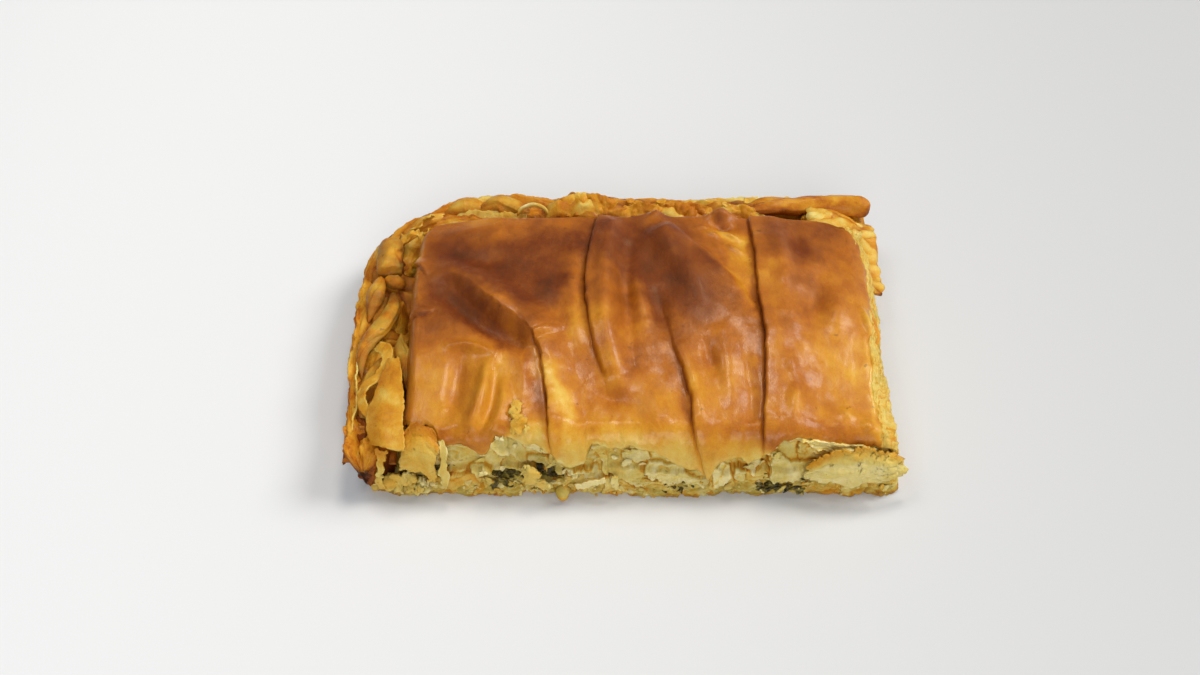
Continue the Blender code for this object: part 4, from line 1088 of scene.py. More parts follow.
# Broad browning of the outer sheet: centre, half widths, turn in degrees, added bake
BROAD_BROWNING = (
    (-34, 13, 30, 21, 0, 0.24), (12, 10, 16, 28, 20, 0.24), (53, 27, 15, 12, 0, 0.15),
    (51, 2, 11, 15, 0, 0.08), (-2, 20, 8, 16, 0, 0.07), (-48, -12, 10, 10, 0, 0.05),
    (-46, -33, 17, 13, 0, -0.09), (58, -27, 13, 17, 0, -0.11), (26, -32, 8, 14, 0, -0.03),
)
# Browning along the folds, some of it painted shade and painted highlight: line, half width, added bake
BROWNING = (
    (((-52, 26), (-49, 19), (-44, 14)), 3.8, 0.20), (((-34, 17), (-29, 12)), 4.4, 0.13),
    (((-24, 8), (-21, 2), (-27, -3)), 4.6, 0.15), (((-40, 9), (-33, 3), (-24, -1)), 5.0, 0.08),
    (((-15, 25), (-11.6, 18)), 2.6, 0.14), (((-56, 31), (-35, 32), (-17, 30)), 4.0, -0.07),
    (((-40, 25), (-30, 24)), 4.0, -0.06), (((-15, 12), (-15.4, 0), (-13, -19)), 3.2, -0.12),
    (((-16, -4), (-14.6, -16)), 2.2, -0.06),
    # the dark band on the slope below the long diagonal fold: its own browning and painted shade
    (((-54, 5), (-47, -3), (-41, -9.6), (-35, -15), (-29, -18)), 3.2, 0.25),
    (((-42, -10), (-37, -14.5)), 2.6, 0.10),
    # the first stroke on the next line, lighter along that fold's crest, is painted highlight
    (((-50, 10), (-44, 4), (-37, -4.4), (-29, -10.8)), 1.5, -0.10), (((-31, -8), (-24, -12)), 3.0, 0.05),
    (((-53, -20), (-52, -34)), 3.6, -0.04), (((-46, -21), (-44, -27)), 3.2, 0.06),
    (((-26.4, -24), (-24.6, -34), (-23.2, -43)), 1.9, 0.10), (((-38, -28), (-39, -36)), 1.6, -0.06),
    (((-34, -35), (-34, -43)), 2.2, -0.05), (((-46, -40), (-41, -47)), 2.6, -0.06),
    (((-24, -20.5), (-20, -30), (-17, -41), (-16, -50)), 2.4, -0.17),
    (((-19, -30), (-15.5, -42), (-15, -50)), 2.4, -0.10), (((-13, -30), (-10.8, -42)), 1.8, -0.08),
    (((-4.4, 26), (-6, 4), (-5.4, -18)), 2.6, -0.03), (((-4, -24), (-2.4, -31)), 1.8, -0.06),
    (((1, 9), (3.2, -2), (5.8, -10)), 2.0, -0.12), (((-61, 30), (-61.5, 12), (-60, -3)), 2.6, -0.13),
    (((5, 11), (9, -4), (11, -14)), 2.4, 0.12), (((9, 18), (14, 5), (19, -3)), 5.0, 0.13),
    (((0.6, -22), (1.0, -28)), 1.8, 0.10), (((-6, -34), (2, -36)), 2.4, 0.06),
    (((14, 27), (22, 15), (28, 5)), 2.4, 0.06), (((17, 24), (24, 15.5), (30, 6), (35, -4)), 1.3, -0.09),
    (((23, 27), (29, 26), (34, 22), (33, 16)), 2.0, -0.17), (((26, 20), (27.5, 13)), 2.6, 0.08),
    (((30, 33), (28, 29.6)), 1.8, 0.14), (((34.8, 28), (34.4, 10), (35, -8)), 1.5, -0.05),
    (((13, -22), (15, -32), (15.6, -44)), 1.4, 0.09), (((16, -25), (18.4, -36), (19, -46)), 1.3, -0.08),
    (((21, -16), (28, -12)), 3.0, -0.05), (((21.6, -20), (22.6, -26)), 1.5, 0.07),
    (((36.3, 30), (36, 0), (36, -36)), 1.0, 0.07), (((39.6, 28), (40, 0), (39.4, -30)), 1.6, -0.05),
    (((46, 32), (60, 31)), 3.6, 0.08), (((50, 28), (52, 10)), 3.6, 0.09),
    (((62, 24), (68, 14)), 3.0, -0.05), (((58, -4), (58, -13)), 3.6, -0.07),
    (((55, 4), (51, -8)), 2.4, 0.06), (((44, -34), (43, -42)), 2.0, -0.07),
    (((57, -38), (57.5, -43)), 1.8, -0.06), (((61, -42), (63.5, -46)), 1.7, -0.07),
    (((65.6, -18), (65.4, -34), (65.4, -47)), 1.4, -0.14), (((66.6, -5), (68.6, -14)), 1.4, -0.16),
    (((48, -46), (60, -48)), 1.6, 0.04),
)
# Where the browning starts to fade towards the front cut, and where the sheet is pale, along x
FADE = (
    (-70, -50, -60), (-50, -49, -62), (-44, -48, -64), (-36, -48, -62), (-32, -44, -54), (-28, -39, -50),
    (-23, -39, -50), (-20.6, -41, -56), (-12, -38, -58), (-8, -33, -57), (0, -35, -58), (8, -37, -59),
    (15, -39, -57), (18, -44, -59), (28, -43, -56), (34, -44, -56), (37.5, -48, -59), (50, -52, -62),
    (70, -54, -64),
)


def line_at(places, table):
    """A line through points of (place, value), read at each place."""
    known = np.array(table, float)
    return np.interp(places, known[:, 0], known[:, 1])


def browning(x, y, crease):
    """How baked the outer sheet is at each place, with painted shade darkening the creases."""
    bake = 0.56 + 0.05 * rough(x, y, 13, 301) + 0.05 * rough(x, y * 0.7, 4.5, 302, 4)
    for cx, cy, rx, ry, turn, added in BROAD_BROWNING:
        c, s = math.cos(math.radians(turn)), math.sin(math.radians(turn))
        dx, dy = x - cx, y - cy
        bake = bake + added * np.exp(-(((dx * c + dy * s) / rx) ** 4) - ((-dx * s + dy * c) / ry) ** 4)
    bent_x, bent_y = x + 1.3 * rough(x, y, 5, 304), y + 1.6 * rough(x, y, 5, 305)
    for points, half_width, added in BROWNING:
        bake = bake + 1.25 * added * stroke(bent_x, bent_y, points, half_width)
    ahead = y + 1.6 * rough(x, y * 0.5, 4.5, 303) + 2.2 * rough(x, y * 0.3, 9, 306, 2) + 1.0
    starts, pale = (line_at(x, [(row[0], row[k]) for row in FADE]) for k in (1, 2))
    share = smooth(0, 1, (starts - ahead) / (starts - pale))
    bake = bake + (0.21 + 0.06 * rough(x, y * 0.5, 4, 307) - bake) * share
    bake = np.where(bake > 0.82, 0.82 + 0.45 * (bake - 0.82), bake)
    # painted shade along the creases, weaker where the sheet fades pale
    return bake + 0.16 * crease * (1 - 0.5 * share)


def make_outer_sheet():
    """The browned top sheet, on a grid that is finer where the long pleats rise."""
    rows, columns = 257, 329
    fine = np.linspace(0, 1, 900)
    y_guess = np.linspace(-51, 36.5, rows)
    left = lid_left(np.clip(y_guess, FRONT_CUT, LID_BACK)) + LEFT_ROUND - TURNED_DOWN
    right = line_at(y_guess, BROWN_RIGHT) + 0.7 * torn(y_guess, 3.1, 311) + 0.35 * torn(y_guess, 0.9, 312)
    x = np.zeros((rows, columns))
    for i in range(rows):
        samples = left[i] + (right[i] - left[i]) * fine
        weight = np.ones(fine.shape)
        for points, *_ in PLEATS[:4]:
            gap, _, _, _ = beside(samples, np.full(samples.shape, y_guess[i]), points)
            weight += 1.9 * bell(gap - 0.3, 1.6)
        total = np.concatenate([[0], np.cumsum((weight[1:] + weight[:-1]) / 2)])
        x[i] = np.interp(np.linspace(0, 1, columns), total / total[-1], samples)
    low = line_at(x, BROWN_FRONT) + 0.55 * torn(x, 2.2, 313) + 0.35 * torn(x, 0.8, 314)
    high = LID_BACK - BACK_ROUND + TURNED_DOWN
    share = np.linspace(0, 1, rows)[:, None] ** 0.97
    y = low + (high - low) * share
    height, over_x, over_y, crease = lid_folds(x, y)
    near_edge = np.minimum(share * (high - low) / 1.4, 1)
    to_right = np.minimum((x[:, -1:] - x) / 1.2, 1)
    worn = 1 - np.minimum(near_edge, to_right)
    top = laid(x + over_x, y + over_y, height - 0.35 * worn)
    bake = browning(x, y, crease) - 0.10 * worn * (0.6 + rough(x, y, 2, 315))
    x, y, height = (v[::UNDER_STEP, ::UNDER_STEP] for v in (x, y, height))
    shape = Shape()
    shape.plate(top, laid(x, y, height - SHEET_THICKNESS - 0.25), UNDER_STEP, bake)
    shape.piece("lid_outer_sheet", oily_filo, "top_crust")


oily_filo = filo_finish("browned_filo", gloss=1.0, blotch=0.24, grain=0.11, wrinkle=0.38)
make_outer_sheet()


# The lid: broken sheets at the cuts
# Under the outer sheet lie thinner, paler ones that stayed moist against the filling.
# The knife tore them, so they end in ragged ledges, one behind another.
BODY_DEPTH = 1.6
RELIEF_DEPTH, HOLE_DEPTH = 3.4, 8.0
BELOW_OUTER = 0.95    # how far the torn sheets stay under the outer one
# Torn sheets on the front face, from the deepest to the outermost: outline on the flat sheet,
# thickness, how far the torn edge curls up, bake, how olive it is
TORN_SHEETS = (
    (((-66, -57.6), (-52, -58.4), (-38, -57.8), (-20, -58.6), (0, -58), (20, -59), (44, -58.4),
      (78, -57.6), (78, -69), (-66, -69)), 1.5, 0.3, 0.15, 0.5),
    (((-52, -44), (-20, -44), (-20, -66), (-52, -66)), 0.5, 0.0, 0.16, 0.75),
    (((-49, -48), (-32, -48), (-31, -55.2), (-33.4, -56.4), (-34, -58.6), (-36.4, -59.4), (-39, -60.6),
      (-39.4, -63), (-42, -63.4), (-44, -62.8), (-46, -63.6), (-49, -62.6)), 0.9, 0.1, 0.14, 0.45),
    (((-49, -58.2), (-44, -58.6), (-40, -59.0), (-38.8, -61), (-40, -63.4), (-49, -63.4)),
     0.7, 0.5, 0.25, 0.15),
    (((-41.6, -57.6), (-38.6, -57.4), (-36.4, -58.2), (-36.0, -59.4), (-38.4, -60.2), (-40.8, -59.2)),
     0.6, 0.6, 0.08, 0.1),
    (((-36, -48), (-20, -48), (-19.6, -57.4), (-21.6, -56.6), (-24, -55.4), (-26.4, -55.8),
      (-27.8, -57.0), (-29.2, -56.0), (-30.8, -54.8), (-33, -54.6), (-36, -53)), 0.9, 0.5, 0.10, 0.40),
    (((-27.2, -50.8), (-25, -50.4), (-22, -52.4), (-21, -54.4), (-24, -53.6), (-26.8, -52.6)),
     0.5, 0.3, 0.05, 0.15),
    (((-26.6, -54.8), (-22.6, -54.8), (-18.6, -56.4), (-13.6, -58.0), (-15.6, -59.6), (-19.4, -58.8),
      (-23, -58.2), (-25.8, -57)), 0.6, 0.3, 0.14, 1.0),
    (((-20.6, -48), (-4, -48), (-5.6, -58.4), (-9, -58.2), (-13, -58.8), (-16.4, -58.2), (-20.4, -56.6)),
     0.9, 0.3, 0.14, 0.55),
    (((-18, -61.4), (-14, -59.4), (-9, -59.2), (-5.4, -59.8), (-4.2, -62.6), (-6, -66), (-16, -66)),
     0.9, 0.5, 0.17, 0.25),
    (((-16.8, -57.8), (-13, -58.2), (-9, -57.8), (-6.8, -58.8), (-5.0, -60.2), (-8, -60.4), (-12, -59.6),
      (-15.6, -59.4)), 0.7, 0.4, 0.08, 0.30),
    (((-6.4, -59.6), (-3, -60.8), (-0.8, -62.4), (2.4, -64), (2, -67), (-7, -67)), 0.8, 0.4, 0.16, 0.2),
    (((-10.4, -49), (24, -49), (24, -64.2), (19, -63.2), (15, -62.9), (12, -62.2), (8.6, -62.8),
      (5, -62.4), (2.4, -63.2), (0.4, -62.2), (-2, -60.8), (-4.4, -59.6), (-6.2, -58.8), (-8, -55.6),
      (-10.2, -52)), 1.0, 0.4, 0.13, 0.50),
    (((5, -56.6), (8.4, -56.8), (10.4, -57.4), (14.0, -57.6), (15.2, -59.2), (18.6, -60.6), (20.6, -62.6),
      (16, -62), (11, -61.6), (5.6, -61.4), (3.6, -59)), 0.6, 0.5, 0.05, 0.20),
    (((0.6, -53.6), (4.4, -53.0), (5.6, -55.6), (2.2, -57.4), (-1.4, -56.6), (-1.8, -54.4)),
     0.4, 0.3, 0.08, 0.35),
    (((19.4, -48), (37.4, -48), (37, -63), (34.8, -62.2), (32.4, -63.4), (29.6, -62.4), (27, -63.6),
      (24, -63.2), (21.6, -64)), 1.0, 0.3, 0.17, 0.25),
    (((21.4, -58.4), (23.6, -56.6), (26.2, -57.4), (27.2, -59.6), (25.6, -62.2), (22.8, -62.8)),
     0.8, 0.5, 0.05, 0.1),
    (((28, -58.8), (31, -58.6), (30.6, -61.4), (28.2, -62)), 0.5, 0.4, 0.12, 0.3),
    (((31.2, -57.4), (34.2, -56.4), (35.8, -57.6), (33.6, -59.4), (32.2, -60)), 0.7, 0.6, 0.04, 0.0),
    (((35.6, -48), (70, -48), (70, -56), (50, -57.4), (46, -59.6), (44.6, -62.4), (41, -62.6),
      (38.4, -63), (37.0, -61), (36.8, -57), (35.8, -54)), 0.9, 0.3, 0.14, 0.50),
    (((44, -49), (72, -49), (76, -66), (46, -66), (45, -62), (47, -58), (44.4, -55.6)),
     0.5, 0.0, 0.20, 0.35),
    (((44.2, -49.5), (66, -49.5), (61.4, -53.4), (58, -53.2), (54.2, -54.4), (50, -53.8), (46.4, -54.2),
      (44.2, -53)), 0.8, 0.4, 0.16, 0.05),
    (((41.4, -50.2), (45, -50.0), (48.4, -52.2), (54, -53.0), (58, -51.8), (62, -50.8), (66, -50.6),
      (60, -48.6), (42, -48.6)), 0.8, 0.5, 0.08, 0.10),
    (((37, -53.2), (39.4, -53.8), (42, -56.2), (45, -55.6), (49.4, -55.8), (47, -58.4), (45.4, -60.4),
      (44.4, -62.0), (40.6, -62.4), (38.2, -62.6), (37.2, -60.4)), 0.7, 0.5, 0.09, 0.30),
    (((36.2, -50.6), (38, -50.2), (38.8, -52.6), (36.4, -53.2)), 0.6, 0.6, 0.04, 0.0),
)
# Where the sheets are torn away down to the filling, on the flat sheet
HOLES = (
    ((-36.4, -60.6), (-33, -59.4), (-30, -59.6), (-28.2, -60.6), (-27, -62.8), (-31, -63.8),
     (-35.6, -63.0)),
    ((-25.4, -57.8), (-22, -58.6), (-19.4, -59.0), (-16.6, -60.0), (-17.6, -61.6), (-20.2, -62.8),
     (-22.4, -61.6), (-24.4, -59.6)),
    ((4.6, -63.0), (8, -62.2), (13, -62.6), (14.4, -64), (9, -64.6), (5, -64.2)),
    ((16.4, -63.2), (20, -63.4), (20.6, -64.4), (17, -64.6)),
    ((34, -62.6), (38, -62.4), (45.6, -61.9), (48.4, -63.2), (46, -64.8), (40, -65.0), (35, -64.4)),
)


def within(x, y, outline):
    """Distance from the outline of a torn sheet, positive inside it."""
    corners = np.array(outline, float)
    nearest, crossings = np.full(x.shape, np.inf), np.zeros(x.shape, int)
    for start, end in zip(corners, np.roll(corners, -1, 0)):
        dx, dy, way, _, gap = from_segment(x, y, start, end)
        nearest = np.minimum(nearest, gap)
        spans = (start[1] > y) != (end[1] > y)
        crossings += spans & (dx < dy * way[0] / (way[1] if abs(way[1]) > 1e-9 else 1e-9))
    return np.where(crossings % 2 == 1, nearest, -nearest)


def make_lid_body():
    """The stack of inner sheets as one mass, from under the outer sheet down to the filling."""
    front = -49.0
    y_top = np.concatenate([np.linspace(front, -40, 20), np.linspace(-39, 30, 36), np.linspace(31, 43, 10)])
    x, y = np.meshgrid(np.linspace(-63.0, 76.0, 240), y_top)
    height, *_ = lid_folds(x, y)
    front_face, right_face = smooth(-44, front, y), smooth(66, 72, x)
    depth = BODY_DEPTH + 2.6 * np.maximum(front_face, right_face)
    top = laid(x, y, 0.85 * height - depth)
    inner = laid(x, y, 0.0)
    x_low = np.clip(inner[..., 0], -61, right_cut(inner[..., 1]) - 6)
    y_low = np.clip(inner[..., 1], -45.5, LID_BACK - 1.5)
    floor = filling_top(x_low, y_low) + LAYER_GAP
    bottom = np.stack([x_low, y_low, np.minimum(floor, top[..., 2] - 0.6)], -1)
    shape = Shape()
    shape.layer(top, bottom, 0.20 + 0.07 * rough(x, y, 5, 327))
    shape.piece("lid_inner_sheets", pale_filo, "top_crust")


def on_front(x, y, lift):
    """Like laid(), but below the turned-down edge the face goes straight down to the base."""
    foot = FRONT_CUT + FRONT_ROUND
    foot = foot - quarter(FRONT_ROUND, crown(x, foot + 0 * x) - FRONT_LIP)
    held = np.maximum(y, foot)
    place = laid(x, held, lift)
    place[..., 2] = np.maximum(place[..., 2] - (held - y), 0.15)
    return place


def torn_ledges(x, y, seed):
    """Stack the torn sheets: height above the outer sheet's level, bake with painted shade and painted
    highlight at the sheet edges, and olive share.
    """
    height = np.full(x.shape, -RELIEF_DEPTH) + 0.25 * rough(x, y, 3, seed)
    bake, green = 0.20 + 0.06 * rough(x, y, 3, seed + 1), np.full(x.shape, 0.6)
    for k, (outline, thickness, curl, tone, olive) in enumerate(TORN_SHEETS):
        own = seed + 20 + 9 * k
        frayed_x = x + 0.50 * rough(x, y, 2.3, own) + 0.22 * relief(x, y, 0.7, own + 1)
        frayed_y = y + 0.50 * rough(x, y, 2.3, own + 2) + 0.22 * relief(x, y, 0.7, own + 3)
        depth = within(frayed_x, frayed_y, outline)
        over = smooth(-0.08, 0.12, depth)
        wrinkles = 0.20 * rough(x, y, 3.4, own + 4) + 0.10 * rough(x * 0.5, y, 1.2, own + 5)
        height += over * (thickness + 1.3 * curl * bell(depth, 0.8) + wrinkles)
        # Each sheet is paler right at its torn edge: painted highlight.
        mottled = tone + 0.06 * rough(x, y, 2.6, own + 6) - 0.08 * bell(depth, 0.4)
        bake = bake + (mottled - bake) * over
        green = green + (olive * (0.75 + 0.5 * rough(x, y, 3.5, own + 7)) - green) * over
        # Just outside each sheet's edge the colour darkens: painted shade under the edge.
        shade = bell(np.minimum(depth, 0), 0.45) * (1 - over)
        bake = bake + 0.34 * shade
    flaky = smooth(-0.5, 0.4, rough(x, y, 9, seed + 5))
    ledges, torn_edge, shade = plates(x * 0.6, y, 4.8, 0.95, 0.36, seed + 6)
    height = height + flaky * ledges
    # painted shade below the torn ledges, and painted highlight on their paler torn edges
    bake = bake + flaky * (0.20 * shade - 0.08 * torn_edge)
    for outline in HOLES:
        frayed_x, frayed_y = x + 0.6 * rough(x, y, 2, seed + 3), y + 0.6 * rough(x, y, 2, seed + 4)
        open_here = smooth(-0.2, 0.5, within(frayed_x, frayed_y, outline))
        height = height - HOLE_DEPTH * open_here
        bake, green = bake + (0.62 - bake) * open_here, green + (1 - green) * open_here
    return height, bake, np.clip(green, 0, 1)


def add_torn_face(place, x, y, lift, bake, green, name):
    """A torn face set on the lid, whose coarse underside lies below its lowest places."""
    rows, columns = lift.shape
    padded = np.pad(lift, UNDER_STEP, mode="edge")
    shifts = range(0, 2 * UNDER_STEP + 1, 2)
    low = np.min([padded[i : i + rows, j : j + columns] for i in shifts for j in shifts], axis=0)
    top = place(x, y, lift)
    x, y, low = (v[::UNDER_STEP, ::UNDER_STEP] for v in (x, y, low))
    shape = Shape()
    shape.plate(top, place(x, y, low - 0.7), UNDER_STEP, bake, green)
    shape.piece(name, pale_filo, "top_crust")


def make_front_face():
    """The front cut: torn sheets under the outer one, and holes down to the filling."""
    x, y = np.meshgrid(np.linspace(-64.5, 79.0, 681), np.linspace(-66.4, -44.5, 109))
    folds, *_ = lid_folds(x, y)
    stack, bake, green = torn_ledges(x, y, 400)
    under_outer = line_at(x, BROWN_FRONT) - y
    most = -BELOW_OUTER + 2.2 * smooth(-1.6, 1.4, under_outer)
    tucked = smooth(-45, -47, y)
    lift = 0.8 * folds + np.minimum(stack, most) * tucked - 2.4 * (1 - tucked)
    add_torn_face(on_front, x, y, lift, bake, green, "torn_front_sheets")


def make_right_face():
    """The right cut: a stack of torn sheets, of which each next one hangs a little lower."""
    x, y = np.meshgrid(np.linspace(63.0, 84.5, 85), np.linspace(-50.0, 37.0, 345))
    stack = np.full(x.shape, -RELIEF_DEPTH) + 0.3 * rough(x, y, 3, 601)
    bake, green = 0.18 + 0.06 * rough(x, y, 3, 602), np.full(x.shape, 0.5)
    for k in range(7):
        end = 70.2 + 2.1 * k + 1.5 * torn(y, 9, 603 + k)
        end = end + 0.55 * torn(y, 2.4, 613 + k) + 0.2 * torn(y, 0.6, 623 + k)
        over = smooth(-0.12, 0.14, end - x)
        height = 0.45 + 0.35 * bell(end - x, 0.8) + 0.16 * rough(x, y, 3, 633 + k)
        stack += over * height
        tone = (0.24, 0.16, 0.28, 0.18, 0.26, 0.17, 0.22)[k] + 0.06 * rough(x, y, 3, 643 + k)
        # Just beyond each sheet's end the colour darkens: painted shade under the edge.
        bake += (tone - bake) * over + 0.14 * bell(np.maximum(x - end, 0), 0.4) * (1 - over)
        green += (0.25 + 0.4 * relief(x, y, 5, 653 + k) - green) * over
    folds, *_ = lid_folds(x, y)
    most = -BELOW_OUTER + 2.4 * smooth(-1.0, 1.6, x - line_at(y, BROWN_RIGHT))
    lift = 0.8 * folds + np.minimum(stack, most)
    ledges, torn_edge, shade = plates(y * 0.35, x, 4.4, 0.9, 0.30, 661)
    lift = lift + 0.8 * ledges * smooth(67, 72, x)
    # painted shade below the torn ledges, and painted highlight on their paler torn edges
    bake = bake + 0.20 * shade - 0.07 * torn_edge
    add_torn_face(laid, x, y, lift, bake, np.clip(green, 0, 1), "torn_right_sheets")


# Loose flakes on the front: guide curves from their held end to their free end, bake at both
# ends, thickness, how ragged, how crumpled
FRONT_FLAKES = (
    ((((46.5, -50.6, 12.4), (52.2, -50.2, 17.4), (59.5, -49.8, 19.2), (66, -49.2, 17.8),
       (71.8, -47.8, 12.4)), ((45.4, -51.2, 9.6), (53, -52.2, 11.8), (60, -52.7, 12.4),
       (66.5, -51.6, 11.4), (73.4, -48.8, 9.4)), ((45.0, -51.2, 7.4), (52, -52.4, 6.2), (60, -52.9, 5.6),
       (67, -51.8, 6.2), (72.2, -49.4, 6.6))), (0.36, 0.05), 0.5, 1.2, 0.6),
    ((((-58.6, -44.6, 18.8), (-55.6, -43.2, 20.8), (-52.2, -43.6, 20.6), (-49.2, -46.2, 18.2)),
      ((-59.6, -49.2, 14.0), (-56.0, -49.6, 16.4), (-52.6, -49.8, 16.0), (-49.4, -50.6, 13.4)),
      ((-60.4, -50.6, 9.4), (-56.6, -51.4, 10.2), (-53.0, -51.5, 8.4), (-50.2, -51.6, 4.6))),
     (0.50, 0.27), 0.5, 0.8, 0.3),
    ((((-63.8, -49.6, 8.6), (-60.2, -50.4, 9.4), (-56.4, -50.8, 8.6), (-53, -51, 7.4)),
      ((-64.4, -50.4, 5.0), (-60.4, -51.8, 5.6), (-56.4, -52.0, 5.0), (-52.6, -51.8, 4.6)),
      ((-65.0, -50.6, 1.6), (-60.4, -51.4, 1.4), (-56.4, -51.6, 1.6), (-52.6, -51.2, 1.8))), (0.12, 0.16),
     0.8, 1.2, 1.3),
    ((((-49.8, -46.0, 17.0), (-47.8, -46.2, 17.6)), ((-49.0, -49.8, 14.9), (-46.6, -50.4, 15.4)),
      ((-49.6, -51.6, 10.4), (-46.4, -51.8, 10.6)), ((-49.0, -51.8, 5.6), (-47.8, -52.0, 3.8))),
     (0.20, 0.12), 0.5, 0.6, 0.3),
    ((((-28.4, -51.4, 12.6), (-26.4, -51.8, 14.2), (-23.8, -51.8, 13.2)),
      ((-27.8, -52.3, 9.6), (-25.2, -53.1, 10.4), (-22.2, -52.6, 9.8)),
      ((-25.8, -52.2, 6.4), (-23.6, -53.2, 7.0), (-20.8, -52.6, 6.4)),
      ((-24.6, -51.8, 3.9), (-22.8, -52.6, 3.2), (-20.6, -52.2, 3.8))), (0.20, 0.14), 0.5, 1.1, 0.7),
    ((((-14.4, -52.4, 6.4), (-10.1, -52.9, 8.6), (-6.0, -52.5, 10.0)),
      ((-13.6, -52.9, 4.4), (-9.8, -53.3, 6.4), (-5.8, -52.8, 7.8))), (0.05, 0.02), 0.5, 0.4, 0.2),
    ((((-39.6, -51.2, 10.6), (-36.8, -51.5, 10.8)), ((-39.4, -51.9, 8.8), (-36.8, -52.0, 8.4))),
     (0.06, 0.02), 0.5, 0.9, 0.5),
    ((((-4.4, -51.4, 10.2), (-1.8, -51.9, 9.4)), ((-5.2, -52.4, 7.4), (-2.2, -52.8, 6.2)),
      ((-3.8, -52.0, 4.6), (-0.8, -52.4, 3.4))), (0.14, 0.06), 0.5, 0.8, 0.5),
    ((((66.2, -35.2, 18.6), (67.8, -35.6, 17.4)), ((66.6, -40.4, 17.6), (69.8, -39.6, 14.2)),
      ((66.4, -45.6, 16.6), (70.6, -43.8, 12.0))), (0.26, 0.24), 0.5, 0.5, 0.3),
)
# Flakes that lie on the outer sheet: the same, as place on the flat sheet and height over it
LYING_FLAKES = (
    ((((-31.4, -36.0, 0.3), (-28.8, -36.4, 0.9), (-26.2, -37.4, 0.6)),
      ((-31.3, -40.2, 0.5), (-29.6, -40.6, 1.2), (-28.2, -40.8, 0.8)),
      ((-31.4, -44.2, 0.5), (-28.8, -44.2, 1.0), (-26.0, -43.2, 0.6)),
      ((-31.0, -48.8, 0.4), (-29.6, -48.8, 0.6), (-28.0, -49.2, 0.4))), (0.32, 0.22), 0.4, 0.9, 0.6),
    ((((-35.6, -48.2, 0.9), (-31.4, -48.0, 1.1)), ((-35.4, -50.2, 1.0), (-31.2, -50.0, 1.2))),
     (0.06, 0.03), 0.45, 0.8, 0.3),
    ((((-27.6, -45.4, 0.5), (-25.2, -44.6, 0.7)), ((-27.2, -48.0, 0.5), (-24.6, -47.6, 0.6))),
     (0.28, 0.18), 0.4, 0.6, 0.4),
)


pale_filo = filo_finish("pale_filo", gloss=0.55, blotch=0.20, grain=0.14, wrinkle=0.75)
make_lid_body()
make_front_face()
loose = Shape()
for number, (guides, *facts) in enumerate(FRONT_FLAKES):
    add_flake(loose, 300 + number, guides, *facts)
for number, (guides, *facts) in enumerate(LYING_FLAKES):
    settled = []
    for guide in guides:
        x, y, lift = np.array(guide, float).T
        settled.append(laid(x, y, lid_folds(x, y)[0] + lift))
    add_flake(loose, 330 + number, settled, *facts)
loose.piece("loose_front_flakes", pale_filo, "top_crust")
make_right_face()


# Torn flakes, crumbs and spinach shreds
# The knife shatters the crisp sheets, so small flakes and crumbs stick to the cuts and the rim.
# The spinach was chopped before cooking: its shreds hang out where the cut opens the filling.
NOISE_SIZE = 2.2
CRUMBS_ABOVE_TABLE = 0.05
PER_MM2 = 1e6


class Growth(Finish):
    """A Geometry Nodes tree that scatters one small shape over a surface."""

    def __init__(self, name, inputs):
        self.tree = bpy.data.node_groups.new(name, "GeometryNodeTree")
        self.nodes, self.links = self.tree.nodes, self.tree.links
        self.tree.interface.new_socket("Geometry", in_out="INPUT", socket_type="NodeSocketGeometry")
        self.tree.interface.new_socket("Geometry", in_out="OUTPUT", socket_type="NodeSocketGeometry")
        self.names = {}
        for label, kind in inputs.items():
            item = self.tree.interface.new_socket(label, in_out="INPUT", socket_type=kind)
            self.names[label] = item.identifier
        self.start = self.nodes.new("NodeGroupInput")

    def given(self, label):
        return Value(self, self.start.outputs[label])

    def random(self, low, high, seed):
        sockets = {2: low, 3: high, 8: self.given("Seed") + seed}
        return self.add("FunctionNodeRandomValue", {"data_type": "FLOAT"}, sockets, out=1)

    def scaled(self, vector, scale):
        return self.add("ShaderNodeVectorMath", {"operation": "SCALE"}, {0: vector, "Scale": scale})


